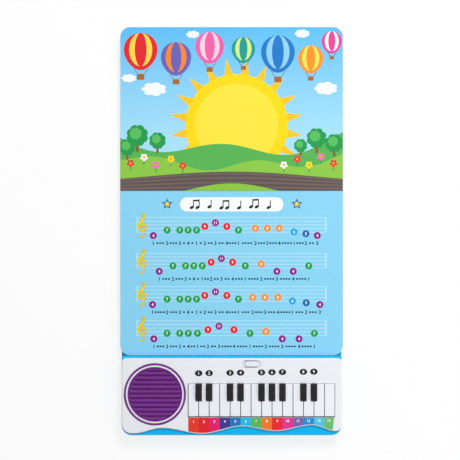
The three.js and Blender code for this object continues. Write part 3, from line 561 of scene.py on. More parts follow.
class PrintedFace:
    # gathers the inks on one flat face, in millimetres from that face's own zero point

    def __init__(self, name, origin, level):
        self.name = name
        self.origin = origin
        self.level = level
        self.shape = bmesh.new()
        self.inks = []

    def slotOf(self, ink):
        if ink not in self.inks:
            self.inks.append(ink)
        return self.inks.index(ink)

    def corner(self, x, y, z):
        return self.shape.verts.new((self.origin[0] + x * mm, self.origin[1] + y * mm, z))

    def patch(self, points, ink, layer, limit=None):
        if limit:
            points = [(max(-limit, min(limit, x)), y) for x, y in points]
        if signedArea(points) < 0:
            points = points[::-1]
        placed = [(self.origin[0] + x * mm, self.origin[1] + y * mm) for x, y in points]
        prismInto(self.shape, placed, self.level, self.level + layer * inkStep, self.slotOf(ink))

    def figures(self, text, x, y, height, ink, layer):
        corners, faces = glyph(text)
        slot = self.slotOf(ink)
        verts = [self.corner(x + cx * height, y + cy * height, self.level + cz * layer * inkStep)
                 for cx, cy, cz in corners]
        for face in faces:
            self.shape.faces.new([verts[i] for i in face]).material_index = slot

    def ribbon(self, points, widths, ink, layer, rise):  # a stroke that climbs a little, to cross itself
        slot = self.slotOf(ink)
        rings = []
        last = len(points) - 1
        for i, (x, y) in enumerate(points):
            before, after = points[max(i - 1, 0)], points[min(i + 1, last)]
            along = Vector((after[0] - before[0], after[1] - before[1])).normalized()
            reach = widths[i] / 2
            top = self.level + (layer + rise * i / last) * inkStep
            sides = [(x - along.y * reach, y + along.x * reach), (x + along.y * reach, y - along.x * reach)]
            ring = [(sides[0], top), (sides[1], top), (sides[1], self.level), (sides[0], self.level)]
            rings.append([self.corner(px, py, z) for (px, py), z in ring])
        for face in loftInto(self.shape, rings):
            face.material_index = slot

    def finished(self, body, materialSlot):
        return fitted(solidObject(self.name, self.shape, *self.inks), body, materialSlot)


def ellipse(x, y, width, height, steps=28):
    angles = [2 * math.pi * i / steps for i in range(steps)]
    return [(x + width / 2 * math.cos(angle), y + height / 2 * math.sin(angle)) for angle in angles]


def lobed(x, y, radius, lobes, depth, squash=1.0, turn=0.0, steps=8):  # cloud, tree crown or flower outline
    points = []
    for i in range(lobes * steps):
        angle = 2 * math.pi * i / (lobes * steps)
        reach = radius * (1 - depth + depth * abs(math.sin(lobes * angle / 2)) ** 0.6)
        points.append((x + reach * math.cos(angle + turn), y + squash * reach * math.sin(angle + turn)))
    return points


def roundBar(x, y, width, height, radius, steps=6):
    left, right = x - width / 2 + radius, x + width / 2 - radius
    low, high = y - height / 2 + radius, y + height / 2 - radius
    return (arcPoints(left, low, radius, 180, 270, steps) + arcPoints(right, low, radius, 270, 360, steps)
            + arcPoints(right, high, radius, 0, 90, steps) + arcPoints(left, high, radius, 90, 180, steps))


def band(lower, upper, left, right, steps=40):
    xs = [left + (right - left) * i / steps for i in range(steps + 1)]
    return [(x, lower(x)) for x in xs] + [(x, upper(x)) for x in reversed(xs)]


def star(x, y, outer, inner, points=5, turn=90):
    return [(x + (inner if i % 2 else outer) * math.cos(math.radians(turn + 180 * i / points)),
             y + (inner if i % 2 else outer) * math.sin(math.radians(turn + 180 * i / points)))
            for i in range(2 * points)]


inkInset = 0.3  # millimetres of bare board round the printing


def fullPage(side):  # the page's own outline, in millimetres from the middle of the fold
    return [(x / mm, (y - foldY) / mm) for x, y in leafOutline(side, leafLook["topNear"], inkInset * mm)]


# picture page: a sunny field with balloons

picture = {
    "sun": (6, 78, 61), "sunMiddle": 0.81, "rays": 20, "rayReach": 80, "rayShare": 0.55,
    "balloons": [(-108, 168, 20, "#e2202b", "#ffd84a"), (-66, 159, 18, "#6a5fb4", "#f4862c"),
                 (-26, 172, 17, "#ef5fa6", "#fbd0e2"), (14, 169, 14, "#0f9c93", "#d8f08a"),
                 (55, 165, 20, "#1478c8", "#8fd0f5"), (94, 158, 15, "#f5941d", "#ffe45c"),
                 (119, 178, 12, "#e63f97", "#ffffff")],
    "clouds": [(-92, 121, 15), (-122, 134, 9), (112, 122, 14), (-46, 186, 8), (84, 187, 9)],
    "trees": [(-112, 66, 13), (-88, 60, 10), (-124, 52, 10), (101, 63, 12), (122, 57, 11), (82, 54, 8)],
    "flowers": [(-120, 33, "#e8303c"), (-104, 40, "#ffffff"), (-90, 31, "#f06fb0"), (-72, 38, "#ffde21"),
                (-58, 30, "#e8303c"), (62, 31, "#ffffff"), (78, 38, "#e8303c"), (92, 31, "#ffde21"),
                (106, 41, "#f06fb0"), (121, 33, "#e8303c")],
    # shares of a balloon's size: basket drop, width, height and corner; rope places; stripes; crown
    "basket": (1.62, 0.44, 0.34, 0.07), "ropeFoot": (0.2, 1.45), "ropeTop": (0.42, 1.1), "ropeWidth": 0.7,
    "stripes": (-0.52, 0.52), "stripeHalf": 0.17, "stripeTurn": 0.27, "crownWaist": 0.16, "crownDrop": 1.22,
    # shares of a tree's size: trunk drop, width, height and corner; place and size of the lit leaves
    "trunk": (0.95, 0.28, 1.1, 0.1), "treeLight": (-0.15, 0.18, 0.55), "treeDepth": 0.14,
    "stemHalf": 0.5, "stemHeight": 9, "petals": (4.6, 5, 0.45, 0.3), "flowerMiddle": 3.0,
    # outlines of the ground, as heights above the fold
    "foot": lambda x: inkInset,
    "farHill": lambda x: 47 + 9 * math.cos(x / 27 + 0.4) + 0.00105 * x * x,
    "nearHill": lambda x: 30 + 6 * math.sin(x / 19) + 0.0006 * x * x,
    "fieldTop": lambda x: 17.5 + 5.5 * math.cos(x / 62),
    "mound": lambda x: max(0.6, 9 * math.cos(x / 36)), "moundHalf": 56,
    "furrows": (0.2, 0.44, 0.68, 0.9), "furrowHalf": 0.75,
}


def drawSky(face):
    p, ink = picture, offsetInk
    face.patch(fullPage(1), skyInk(), 1)
    for x, y, size in p["clouds"]:
        face.patch(lobed(x, y, size, 7, 0.22, 0.55), ink("Cloud", "#f6fbff"), 2)
    sunX, sunY, sunR = p["sun"]
    for i in range(p["rays"]):
        angle = math.pi * 2 * (i + 0.5) / p["rays"]
        spread = math.pi / p["rays"] * p["rayShare"]
        ray = [(sunX + r * math.cos(angle + a), sunY + r * math.sin(angle + a))
               for r, a in ((sunR, -spread), (p["rayReach"], 0), (sunR, spread))]
        face.patch(ray, ink("SunRay", "#ffc91a"), 3)
    face.patch(ellipse(sunX, sunY, 2 * sunR, 2 * sunR, 72), ink("Sun", "#ffdb05"), 4)
    middle = 2 * p["sunMiddle"] * sunR
    face.patch(ellipse(sunX, sunY, middle, middle, 64), ink("SunMiddle", "#ffe640"), 5)


def drawBalloon(face, x, y, size, main, stripe):
    p, ink = picture, offsetInk
    crown = [(x + size * math.sin(a) * (1 - p["crownWaist"] * max(0, -math.cos(a)) ** 2),
              y + size * math.cos(a) * (1.0 if math.cos(a) > 0 else p["crownDrop"]))
             for a in [2 * math.pi * i / 36 for i in range(36)]]
    face.patch(crown, ink("Balloon" + main[1:], main), 5)
    for share in p["stripes"]:
        gore = [(x + size * (share + p["stripeHalf"] * side) * math.cos(t), y + size * math.sin(t))
                for side, turns in ((1, range(-5, 6)), (-1, range(5, -6, -1)))
                for t in [k * p["stripeTurn"] for k in turns]]
        face.patch(gore, ink("Stripe" + stripe[1:], stripe), 6)
    drop, width, height, corner = [size * share for share in p["basket"]]
    face.patch(roundBar(x, y - drop, width, height, corner), ink("Basket", "#a5672e"), 6)
    footX, footY, topX, topY = [size * share for share in p["ropeFoot"] + p["ropeTop"]]
    for lean in (-1, 1):
        rope = [(x + lean * footX, y - footY), (x + lean * topX, y - topY)]
        rope += [(px + p["ropeWidth"], py) for px, py in rope[::-1]]
        face.patch(rope, ink("Rope", "#6d4a2a"), 4)


def drawGround(face):
    p, ink = picture, offsetInk
    edge = pageHalf / mm - inkInset
    face.patch(band(p["foot"], p["farHill"], -edge, edge, 60), ink("FarHill", "#57b354"), 6)
    face.patch(band(p["foot"], p["nearHill"], -edge, edge, 60), ink("NearHill", "#8cc946"), 7)
    for i, (x, y, size) in enumerate(p["trees"]):
        lift = 0.3 * (i % 3)
        drop, width, height, corner = [size * share for share in p["trunk"]]
        face.patch(roundBar(x, y - drop, width, height, corner), ink("Trunk", "#8a5a2d"), 8)
        face.patch(lobed(x, y, size, 8, p["treeDepth"]), ink("TreeCrown", "#1f9a4b"), 9 + lift, edge)
        lightX, lightY, light = [size * share for share in p["treeLight"]]
        face.patch(lobed(x + lightX, y + lightY, light, 7, p["treeDepth"]), ink("TreeLight", "#58be5c"),
                   10 + lift, edge)
    (radius, lobes, depth, turn), middle = p["petals"], p["flowerMiddle"]
    for x, y, code in p["flowers"]:
        left, right, foot = x - p["stemHalf"], x + p["stemHalf"], y - p["stemHeight"]
        face.patch([(left, foot), (right, foot), (right, y), (left, y)], ink("Stem", "#2b8a3e"), 8)
        face.patch(lobed(x, y, radius, lobes, depth, turn=turn), ink("Petal" + code[1:], code), 9)
        face.patch(ellipse(x, y, middle, middle, 14), ink("FlowerMiddle", "#f7a81b"), 10)
    top, half = p["fieldTop"], p["furrowHalf"]
    face.patch(band(p["foot"], top, -edge, edge, 40), ink("FieldSoil", "#5c504f"), 10)
    for share in p["furrows"]:
        face.patch(band(lambda x: top(x) * share - half, lambda x: top(x) * share + half, -edge, edge, 40),
                   ink("Furrow", "#74665f"), 11)
    face.patch(band(p["foot"], p["mound"], -p["moundHalf"], p["moundHalf"], 30), ink("Mound", "#8cc63f"), 12)


def makePicture():
    face = PrintedFace("picturePagePrint", (0, foldY), pageTop)
    drawSky(face)
    for balloon in picture["balloons"]:
        drawBalloon(face, *balloon)
    drawGround(face)
    face.finished("cover", "page_board")


# music page: staves with numbered notes, in the colours of the strip under the keys

music = {
    "titleBar": (0.1, -15.9, 122.8, 16.8), "titleNotes": 6, "titlePitch": 17.6, "titleWave": (0.8, 1.9),
    "pairHalf": 3.4, "head": (5.2, 3.9), "headDrop": 3.6, "stem": (2.0, 0.6, 1.1, 8.8, 0.3),
    "beam": ((-1.9, 5.4), (5.9, 5.9), (5.9, 3.9), (-1.9, 3.4)),
    "stars": (-76.5, 77.5), "starLift": 0.4, "starBlue": (6.8, 3.1), "starYellow": (3.9, 1.8),
    "staveLeft": -112.2, "staveRight": 112.1, "lineSpacing": 4.35, "lineWidth": 0.45, "lineCorner": 0.02,
    "clefX": -106.2, "clefHeight": 28.0, "clefDrop": 1.1, "clefWeight": 1.25, "clefUnits": 2.72,
    "dotRadius": 4.3, "rim": 0.3, "figureHeight": 3.6, "twoFigures": 0.92,
    "noteStep": 2.17, "lowestNote": 4, "lowestDrop": 21.4,
    "countDrop": 30.4, "countHeight": 4.4,
    "dashHeight": 1.9, "dashLength": 2.5, "dashPitch": 3.3, "dashCorner": 0.7, "dashMargin": 3.9,
    "opening": (4, 7, 7, 7, 7, 9, 11, 9, 7),  # every row starts with these notes
    "rows": [  # the top of each stave, the notes that end it, and the place across of each note
        (-31.5, (8, 8, 8, 6, 5, 4), (-93.0, -76.6, -61.5, -51.6, -41.6, -31.9, -19.2, -5.7,
                                     8.1, 28.3, 42.5, 56.6, 74.2, 88.3, 101.8)),
        (-74.0, (8, 4, 4, 7), (-86.0, -69.7, -54.7, -44.9, -34.9, -24.3, -12.1, 1.2,
                               16.3, 35.3, 53.8, 73.2, 91.7)),
        (-113.5, (8, 8, 8, 6, 5, 4), (-93.9, -76.6, -61.5, -51.6, -41.6, -31.9, -19.2, -5.7,
                                      8.1, 25.1, 39.6, 55.1, 72.2, 88.6, 104.8)),
        (-154.2, (8, 4, 4, 7), (-92.4, -76.6, -61.6, -51.4, -40.5, -28.1, -15.0, 2.8,
                                21.8, 40.7, 60.2, 80.1, 98.3)),
    ],
}

noteInks = {4: ("NotePurple", "#8c1a8e"), 5: ("NoteDarkBlue", "#0065b0"), 6: ("NoteLightBlue", "#0cadec"),
            7: ("NoteGreen", "#0aa24c"), 8: ("NoteOrange", "#f8921a"), 9: ("NoteRed", "#ee1428"),
            11: ("NoteViolet", "#96228e")}

clefStroke = [(-0.24, -1.06, 0.16), (-0.20, -1.22, 0.10), (-0.02, -1.34, 0.08), (0.16, -1.24, 0.09),
              (0.20, -0.95, 0.09), (0.12, -0.30, 0.10), (0.02, 0.35, 0.10), (-0.06, 0.88, 0.09),
              (0.02, 1.26, 0.08), (0.17, 1.38, 0.09), (0.25, 1.12, 0.12), (0.08, 0.74, 0.16),
              (-0.26, 0.38, 0.18), (-0.44, -0.02, 0.17), (-0.30, -0.42, 0.14), (0.05, -0.56, 0.12),
              (0.38, -0.36, 0.13), (0.42, -0.02, 0.15), (0.18, 0.16, 0.14), (-0.08, 0.06, 0.11),
              (-0.14, -0.16, 0.08), (-0.04, -0.28, 0.05)]


def smoothStroke(points, steps=5):  # Catmull-Rom through (x, y, width) points
    smooth = []
    last = len(points) - 1
    for i in range(last):
        p = [points[max(i - 1, 0)], points[i], points[i + 1], points[min(i + 2, last)]]
        for k in range(steps):
            t = k / steps
            smooth.append(tuple(0.5 * (2 * p[1][c] + (p[2][c] - p[0][c]) * t
                                       + (2 * p[0][c] - 5 * p[1][c] + 4 * p[2][c] - p[3][c]) * t * t
                                       + (3 * p[1][c] - p[0][c] - 3 * p[2][c] + p[3][c]) * t ** 3)
                                for c in range(3)))
    smooth.append(points[last])
    return smooth


def drawClef(face, x, middleY):
    unit = music["clefHeight"] / music["clefUnits"]
    stroke = smoothStroke(clefStroke)
    centre = [(x + px * unit, middleY + py * unit) for px, py, _ in stroke]
    for name, code, extra, layer in (("ClefEdge", "#7b7a2a", 0.7, 3), ("ClefYellow", "#ffe000", 0.0, 4)):
        widths = [max(w, 0.03) * unit * music["clefWeight"] + extra for _, _, w in stroke]
        face.ribbon(centre, widths, offsetInk(name, code), layer, 0.6)


def drawStaveLines(face, top):
    m = music
    ink = offsetInk("StaveLine", "#dff3fd")
    middle = (m["staveLeft"] + m["staveRight"]) / 2
    length = m["staveRight"] - m["staveLeft"] - 2 * m["lineWidth"]
    for line in range(5):
        y = top - line * m["lineSpacing"]
        face.patch(roundBar(middle, y, length, m["lineWidth"], m["lineCorner"], 1), ink, 2)
    height = 4 * m["lineSpacing"] + m["lineWidth"]
    for x in (m["staveLeft"], m["staveRight"]):
        bar = roundBar(x, top - 2 * m["lineSpacing"], 2 * m["lineWidth"], height, m["lineCorner"], 1)
        face.patch(bar, ink, 2)


def drawStave(face, top, notes):
    m = music
    drawStaveLines(face, top)
    drawClef(face, m["clefX"], top - 2 * m["lineSpacing"] - m["clefDrop"])
    rim, dot = 2 * m["dotRadius"] + m["rim"], 2 * m["dotRadius"]
    countY = top - m["countDrop"]
    previous = None
    for beat, (number, x) in enumerate(notes):
        y = top - m["lowestDrop"] + (number - m["lowestNote"]) * m["noteStep"]
        face.patch(ellipse(x, y, rim, rim, 32), offsetInk("NoteRim", "#d8f0fb"), 3)
        face.patch(ellipse(x, y, dot, dot, 32), offsetInk(*noteInks[number]), 4)
        height = m["figureHeight"] * (m["twoFigures"] if number > 9 else 1)
        face.figures(str(number), x, y, height, offsetInk("White", "#fbfcfd"), 5)
        countInk = offsetInk("CountBlack", "#10202b")
        face.figures(str(beat % 4 + 1), x, countY, m["countHeight"], countInk, 2)
        if previous is not None:
            dashes = int((x - previous - m["dashMargin"]) / m["dashPitch"])
            for i in range(dashes):
                dashX = (x + previous) / 2 + (i - (dashes - 1) / 2) * m["dashPitch"]
                dash = roundBar(dashX, countY, m["dashLength"], m["dashHeight"], m["dashCorner"], 3)
                face.patch(dash, countInk, 2)
        previous = x


def drawTitle(face):  # plain beamed pairs and crotchets in a white bar, between two stars
    m = music
    x, y, width, height = m["titleBar"]
    face.patch(roundBar(x, y, width, height, height / 2, 14), offsetInk("White", "#fbfcfd"), 2)
    ink = offsetInk("TitleBlack", "#151314")
    reach, turn = m["titleWave"]
    stemX, stemY, stemWidth, stemHeight, stemCorner = m["stem"]
    for i in range(m["titleNotes"]):
        pair = i % 2 == 0
        lift = reach * math.sin(i * turn)
        noteX = x + (i - (m["titleNotes"] - 1) / 2) * m["titlePitch"]
        for side in ((-m["pairHalf"], m["pairHalf"]) if pair else (0,)):
            head = [(px * 0.95 + py * 0.25 + noteX + side, py + px * 0.16 + y - m["headDrop"] + lift)
                    for px, py in ellipse(0, 0, *m["head"], 22)]
            face.patch(head, ink, 3)
            stem = roundBar(noteX + side + stemX, y + stemY + lift, stemWidth, stemHeight, stemCorner, 2)
            face.patch(stem, ink, 3.4)
        if pair:
            face.patch([(noteX + px, y + py + lift) for px, py in m["beam"]], ink, 3.8)
    for starX in m["stars"]:
        face.patch(star(starX, y + m["starLift"], *m["starBlue"]), offsetInk("StarBlue", "#0f4fa0"), 3)
        face.patch(star(starX, y + m["starLift"], *m["starYellow"]), offsetInk("StarYellow", "#ffe020"), 4)


pageBlue = ("PageBlue", "#8bd6f6")


def makeMusicPage():
    face = PrintedFace("musicPagePrint", (0, foldY), pageTop)
    face.patch(fullPage(-1), offsetInk(*pageBlue), 1)
    drawTitle(face)
    for top, ending, places in music["rows"]:
        drawStave(face, top, zip(music["opening"] + ending, places))
    face.finished("book", "page_board")


creaseLook = {"low": 0.35 * mm, "high": 0.08 * mm, "steps": 8}


def makeCrease():  # the printed paper across the fold, from one top leaf to the other, as a flat strip
    near = leafLook["topNear"]
    reach = pageHalf - inkInset * mm
    low, high = pageTop - creaseLook["low"], pageTop - creaseLook["high"]
    shape = bmesh.new()
    rings = []
    for i in range(creaseLook["steps"] + 1):
        y = foldY - near + 2 * near * i / creaseLook["steps"]
        corners = [(-reach, low), (reach, low), (reach, high), (-reach, high)]
        rings.append([shape.verts.new((x, y, z)) for x, z in corners])
    loftInto(shape, rings)
    crease = solidObject("foldCrease", shape, offsetInk(*pageBlue))
    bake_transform(crease)


makePicture()
makeMusicPage()
makeCrease()
print("pages printed")


# keyboard module: moulded housing, white face panel and keys

panelLow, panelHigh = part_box("face_panel")
panelTop = panelHigh.z

housing = {
    "caseEdge": 0.8 * mm, "panelHoleEdge": 0.25 * mm, "whiteKeyEdge": 0.4 * mm, "blackKeyEdge": 0.6 * mm,
    "knobEdge": 0.3 * mm, "doorEdge": 0.3 * mm,
    "visible": 17 * mm,   # only key edges above this level can be seen or touched
    "rimBand": 0.1 * mm,  # an edge this close to the top face belongs to the rim
    "keyFrontGap": 1.2 * mm,
}


def nodesNamed(start):  # one start of a name, or several
    return sorted(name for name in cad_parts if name.startswith(start))


def makeHousing():
    h = housing
    seen = above(h["visible"])
    case = softened("keyboard_case", "keyboardCaseShell", cyanAbs, h["caseEdge"],
                    picks=above(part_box("keyboard_case")[1].z - h["rimBand"]), angle=50)
    fitted(case, "book", "case_plastic", "keyboard_case")
    panel = softened("face_panel", "whiteFacePanel", whiteAbs, h["panelHoleEdge"], 2,
                     picks=above(panelTop - h["rimBand"]), angle=60, shadeAngle=50)
    fitted(panel, "book", "panel_plastic", "face_panel")
    for colour, name, stuff, segments in (("white", "whiteKeyCap", keyWhiteAbs, 2),
                                          ("black", "blackKeyCap", keyBlackAbs, 3)):
        for node in nodesNamed(colour + "_key_"):
            key = softened(node, name + node[-2:], stuff, h[colour + "KeyEdge"], segments, picks=seen)
            fitted(key, node, colour + "_key", node)
    knob = softened("switch_knob", "switchThumbKnob", whiteAbs, h["knobEdge"], 2, above(panelTop), 50)
    fitted(knob, "power_switch", "panel_plastic", "switch_knob")
    door = softened("battery_door", "batteryBayDoor", cyanAbs, h["doorEdge"], 2, angle=50)
    fitted(door, "book", "case_plastic", "battery_door")


# sizes of the black felt strip that paints the shade in the gap in front of the keys
keyGapShadeLook = {"gap": 0.02 * mm, "thickness": 0.55 * mm, "belowPanel": 0.3 * mm, "underPanel": 2 * mm}


def makeFrontFelt():  # black felt strip along the front wall of the key opening: painted shade that darkens the gap in front of the keys
    low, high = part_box("white_key_01")[0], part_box("white_key_14")[1]
    wall = low.y - housing["keyFrontGap"] + keyGapShadeLook["gap"]
    front = wall + keyGapShadeLook["thickness"]
    outline = [(low.x, wall), (high.x, wall), (high.x, front), (low.x, front)]
    # the strip's black is painted shade in the gap in front of the keys
    gapShade = prismObject("keyFrontFelt", outline, panelLow.z - keyGapShadeLook["underPanel"],
                       panelTop - keyGapShadeLook["belowPanel"],
                       plainStuff("pressedBlackFelt", "#0c0e12", 0.95, 0.4 * mm, 0.5))
    fitted(gapShade, "book", "nylon")


# sizes of the grey ring and the dark plate that paint the shadow lines round the switch recess and knob
recessShadeLook = {"recess": (22.0, 8.9), "recessDepth": 1.2 * mm, "gap": 0.02, "width": 0.35,
            "sunk": 0.01 * mm, "height": 0.04 * mm, "steps": 10}
knobShadeLook = {"lap": (0.25, 0.4), "thickness": 0.18 * mm, "lift": 0.08 * mm}


def makeSwitchTrim():  # a grey ring at the foot of the recess wall, and a dark plate that moves with the switch under the knob and peeks out round it: both painted shade, drawing the shadow lines round the switch
    low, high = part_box("switch_knob")
    x, y = (low.x + high.x) / 2 / mm, (low.y + high.y) / 2 / mm
    floor = panelTop - recessShadeLook["recessDepth"]

    def pill(length, width, trim=0.0):
        points = roundBar(x, y, length, width, width / 2 - trim, recessShadeLook["steps"])
        return [(px * mm, py * mm) for px, py in points]

    length, width = recessShadeLook["recess"]
    gap, inset = 2 * recessShadeLook["gap"], 2 * recessShadeLook["width"]
    foot, crest = floor - recessShadeLook["sunk"], floor + recessShadeLook["height"]
    rims = zip(pill(length - gap, width - gap), pill(length - inset, width - inset))
    # the grey ring is painted shade at the foot of the recess wall
    shape = bmesh.new()
    bandInto(shape, [[shape.verts.new((*outer, foot)), shape.verts.new((*outer, crest)),
                      shape.verts.new((*inner, crest)), shape.verts.new((*inner, foot))]
                     for outer, inner in rims])
    recessShade = solidObject("switchRecessSeal", shape, plainStuff("greyFoamSeal", "#7d8086", 0.9, 0.5 * mm, 0.3))
    fitted(recessShade, "book", "keypad_rubber")

    # the dark plate shows only as a painted shadow line round the knob
    lapX, lapY = knobShadeLook["lap"]
    bottom = floor + knobShadeLook["lift"]
    outline = pill((high.x - low.x) / mm + 2 * lapX, (high.y - low.y) / mm + 2 * lapY, 0.01)
    knobShade = prismObject("switchShutter", outline, bottom, bottom + knobShadeLook["thickness"],
                          plainStuff("darkNylonShutter", "#34363a", 0.55, 0.4 * mm, 0.1))
    fitted(knobShade, "power_switch", "nylon")


makeHousing()
makeFrontFelt()
makeSwitchTrim()
print("keyboard module made")


# speaker grille: moulded ribs over slots, inside a raised purple ring

grille = {"ribs": 12, "footHeight": 1.0 * mm, "ribRise": 2.0 * mm, "slot": 0.7 * mm, "rimWidth": 1.2 * mm,
          "slotMargin": 4.0 * mm, "underRim": 0.4 * mm, "soft": 0.5 * mm, "sides": 96,
          "endRound": 0.07, "ribSteps": 8, "ringWidth": 2.0 * mm,
          "scrim": 0.15 * mm, "scrimHole": 0.5 * mm, "scrimSides": 64}


def turned(name, profile, centre, sides, material):  # a closed (radius, z) outline spun about Z
    shape = bmesh.new()
    angles = [2 * math.pi * i / sides for i in range(sides)]
    bandInto(shape, [[shape.verts.new((centre[0] + r * math.cos(angle), centre[1] + r * math.sin(angle), z))
                      for r, z in profile] for angle in angles])
    bmesh.ops.recalc_face_normals(shape, faces=shape.faces)
    return solidObject(name, shape, material)


def ribObject(name, length, pitch, floorLevel):  # the grille's middle rib, its ends rounded down
    g = grille
    shape = bmesh.new()
    end, steps = g["endRound"], g["ribSteps"]
    half = (pitch - g["slot"]) / 2
    rings = []
    for along, rise in ((-1, 0.0), (-1 + end * 0.3, 0.6), (-1 + end, 1.0),
                        (1 - end, 1.0), (1 - end * 0.3, 0.6), (1, 0.0)):
        crest = [(half * (1 - k / steps),
                  g["footHeight"] + rise * g["ribRise"] * (1 - math.cos(math.pi * k / steps)) / 2)
                 for k in range(steps + 1)]
        crest += [(-y, z) for y, z in crest[-2::-1]]
        ring = [(-half, 0.0), (half, 0.0)] + crest
        rings.append([shape.verts.new((along * length / 2, y, floorLevel + z)) for y, z in ring])
    loftInto(shape, rings)
    bmesh.ops.remove_doubles(shape, verts=shape.verts, dist=1e-8)
    bmesh.ops.recalc_face_normals(shape, faces=shape.faces)
    return solidObject(name, shape)


def ribRowTree():  # ribs side by side about the centre, each as long as the circle's chord there
    tree, given, output = newTree("grilleRibs", [
        ("Rib count", "NodeSocketInt", 12), ("Rib pitch", "NodeSocketFloat", 5.35 * mm),
        ("Grille radius", "NodeSocketFloat", 31 * mm), ("Centre", "NodeSocketVector", (0.0, 0.0, 0.0))])
    asked = given.outputs
    span = mathNode(tree, "MULTIPLY", mathNode(tree, "SUBTRACT", asked["Rib count"], 1.0), asked["Rib pitch"])
    start = addNode(tree, "ShaderNodeCombineXYZ", {"Y": mathNode(tree, "MULTIPLY", span, -0.5)})
    step = addNode(tree, "ShaderNodeCombineXYZ", {"Y": asked["Rib pitch"]})
    line = addNode(tree, "GeometryNodeMeshLine", {"Count": asked["Rib count"], "Start Location": start,
                                                  "Offset": step})
    split = addNode(tree, "ShaderNodeSeparateXYZ", {"Vector": addNode(tree, "GeometryNodeInputPosition")})
    share = mathNode(tree, "DIVIDE", split.outputs["Y"], asked["Grille radius"])
    rest = mathNode(tree, "SUBTRACT", 1.0, mathNode(tree, "MULTIPLY", share, share))
    scale = addNode(tree, "ShaderNodeCombineXYZ", {"X": mathNode(tree, "SQRT", rest), "Y": 1.0, "Z": 1.0})
    copies = addNode(tree, "GeometryNodeInstanceOnPoints", {"Points": line, "Instance": asked["Geometry"],
                                                            "Scale": scale})
    moved = addNode(tree, "GeometryNodeTransform", {"Geometry": copies, "Translation": asked["Centre"]})
    finishTree(tree, output, moved, purpleAbs)
    return tree


def makeGrille():
    g = grille
    low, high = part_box("speaker_grille")
    centre = ((low.x + high.x) / 2, (low.y + high.y) / 2)
    radius = (high.x - low.x) / 2
    inner = radius - g["rimWidth"]
    pitch = 2 * radius / g["ribs"]
    reach = inner + g["underRim"]
    ribs = grown(ribObject("grilleRibs", 2 * reach, pitch, low.z), ribRowTree(),
                 {"Rib count": g["ribs"], "Rib pitch": pitch, "Grille radius": reach,
                  "Centre": (centre[0], centre[1], 0.0)})
    web = radius - g["slotMargin"]
    soft = g["soft"]
    turn = soft * 0.3
    rim = [(web, low.z), (radius, low.z), (radius, panelTop - soft), (radius - turn, panelTop - turn),
           (radius - soft, panelTop), (inner + soft, panelTop), (inner + turn, panelTop - turn),
           (inner, panelTop - soft), (inner, low.z + g["footHeight"]), (web, low.z + g["footHeight"])]
    whole = joinedObject("speakerGrille", [turned("grilleRim", rim, centre, g["sides"], purpleAbs), ribs])
    smoothShade(whole, 40)
    fitted(whole, "book", "purple_plastic", "speaker_grille")

    scrim = [(g["scrimHole"], low.z), (radius - soft, low.z), (radius - soft, low.z + g["scrim"]),
             (g["scrimHole"], low.z + g["scrim"])]
    cloth = turned("speakerScrim", scrim, centre, g["scrimSides"],
                   plainStuff("wovenBlackScrim", "#160f18", 0.9, 0.6 * mm, 0.3))
    fitted(cloth, "book", "cone_paper")

    low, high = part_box("grille_ring")
    outer = (high.x - low.x) / 2
    half = g["ringWidth"] / 2
    rise = high.z - panelTop
    crest = [(outer - half + half * math.cos(math.radians(a)), panelTop + rise * math.sin(math.radians(a)))
             for a in range(0, 181, 20)]
    profile = [(outer - 2 * half, low.z), (outer, low.z)] + crest
    ring = turned("grilleRing", profile, centre, g["sides"], purpleAbs)
    smoothShade(ring, 40)
    fitted(ring, "book", "purple_plastic", "grille_ring")


makeGrille()
print("grille made")


# panel printing: the colour strip under the keys and the numbers over the black keys

strip = {
    "colours": ["#e8392a", "#e51f28", "#e81a70", "#41348f", "#2574be", "#22bdea", "#58b755",
                "#f17c29", "#ed2530", "#ec3093", "#7e60ae", "#1a8edc", "#52c6e8", "#6fbf6f"],
    "lip": 1.2, "endShort": 0.9, "endSlant": 2.4, "cellSteps": 8,
    "firstFigureY": -225.0, "lastFigureY": -223.7, "figureHeight": 3.1,
    "dotWidth": 8.9, "dotHeight": 7.2, "dotFigure": 3.6, "firstDotY": -167.9, "lastDotY": -166.0,
    "blackKeyPlaces": [1, 2, 4, 5, 7, 8, 9, 11, 12],
    "waveBand": 13 * mm, "panelGloss": 0.34,
}


def waveLine():  # the panel's lower edge, left to right, read from its own rim
    points = sorted({(round(v.co.x / mm, 3), round(v.co.y / mm, 3))
                     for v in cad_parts["face_panel"].data.vertices
                     if v.co.z < panelLow.z + 0.01 * mm and v.co.y < panelLow.y + strip["waveBand"]})

    def height(x):
        for (x0, y0), (x1, y1) in zip(points, points[1:]):
            if x0 <= x <= x1 and x1 > x0:
                return y0 + (y1 - y0) * (x - x0) / (x1 - x0)
        return points[-1][1]
    return height


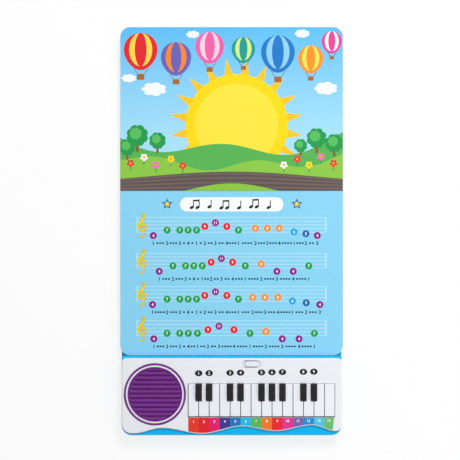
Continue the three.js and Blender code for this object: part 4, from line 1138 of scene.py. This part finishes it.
def makePanelPrint():
    s = strip
    face = PrintedFace("facePanelPrint", (0, 0), panelTop)
    wave = waveLine()
    firstKey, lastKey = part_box("white_key_01"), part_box("white_key_14")
    count = len(s["colours"])
    middleGap = (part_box("white_key_02")[0].x - firstKey[1].x) / 2
    left = (firstKey[0].x - middleGap) / mm
    pitch = ((lastKey[1].x + middleGap) / mm - left) / count
    top = (firstKey[0].y - housing["keyFrontGap"] - housing["panelHoleEdge"]) / mm
    white = offsetInk("White", "#fbfcfd")
    for i, code in enumerate(s["colours"]):
        x0, x1 = left + pitch * i, left + pitch * (i + 1)
        xs = [x0 + (x1 - x0) * k / s["cellSteps"] for k in range(s["cellSteps"] + 1)]
        if i == count - 1:  # the strip ends a little short of the last key, and slants in
            xs = [x0 + (x - x0) * (x1 - x0 - s["endSlant"]) / (x1 - x0) for x in xs]
            x1 -= s["endShort"]
        cell = [(x, wave(x) + s["lip"]) for x in xs] + [(x1, top), (x0, top)]
        face.patch(cell, offsetInk("Strip%02d" % (i + 1), code, s["panelGloss"]), 1)
        y = s["firstFigureY"] + (s["lastFigureY"] - s["firstFigureY"]) * i / (count - 1)
        face.figures(str(i + 1), (x0 + x1) / 2, y, s["figureHeight"], white, 2)
    black = offsetInk("PanelBlack", "#0d1217", s["panelGloss"])
    places = s["blackKeyPlaces"]
    for i, place in enumerate(places):
        x = left + pitch * place
        share = (place - places[0]) / (places[-1] - places[0])
        y = s["firstDotY"] + (s["lastDotY"] - s["firstDotY"]) * share
        face.patch(ellipse(x, y, s["dotWidth"], s["dotHeight"], 36), black, 1)
        face.figures(str(i + 1), x, y, s["dotFigure"], white, 2)
    face.finished("book", "panel_plastic")


makePanelPrint()
print("panel printed")


# inner pieces keep their solid and take the finish of their real stuff

innerStuff = (
    (cyanAbs, "case_base"),
    (zincSteel, "case_screw_", "key_hinge_rod", "speaker_frame", "battery_door_screw"),
    (nickelSteel, "battery_contact_plus", "battery_spring_minus", "battery_link"),
    (plainStuff("pressedBlackConePaper", "#26262a", 0.85, 0.5 * mm, 0.3), "speaker_cone"),
    (plainStuff("sinteredFerrite", "#2f2f31", 0.6, 0.3 * mm), "speaker_magnet"),
    (plainStuff("mouldedBlackNylon", "#1d1d1f", 0.5, 0.4 * mm, 0.1), "switch_lever"),
    (plainStuff("mouldedBlackNylonBody", "#202022", 0.5, 0.4 * mm, 0.1), "slide_switch"),
    (plainStuff("greenSolderMaskLaminate", "#1f6b3c", 0.4, 0.6 * mm, 0.1), "circuit_board"),
    (plainStuff("pouredBlackEpoxy", "#18181a", 0.3, 3 * mm, 0.15), "chip_cover"),
    (plainStuff("mouldedGreySilicone", "#a9adb2", 0.75, 0.5 * mm, 0.1), "rubber_keypad"),
    (plainStuff("printedBatterySleeve", "#2d4c8c", 0.32, 4 * mm, 0.05), "battery_1", "battery_2"),
    (plainStuff("redPvcInsulation", "#c22323", 0.45, 1 * mm, 0.05), "battery_lead_red", "speaker_lead_red"),
    (plainStuff("blackPvcInsulation", "#1a1a1a", 0.45, 1 * mm, 0.05), "battery_lead_black",
     "speaker_lead_black"),
)


def finishInnerPieces():
    for stuff, *starts in innerStuff:
        for name in nodesNamed(tuple(starts)):
            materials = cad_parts[name].data.materials
            materials.clear()
            materials.append(stuff)


finishInnerPieces()
print("inner pieces finished")
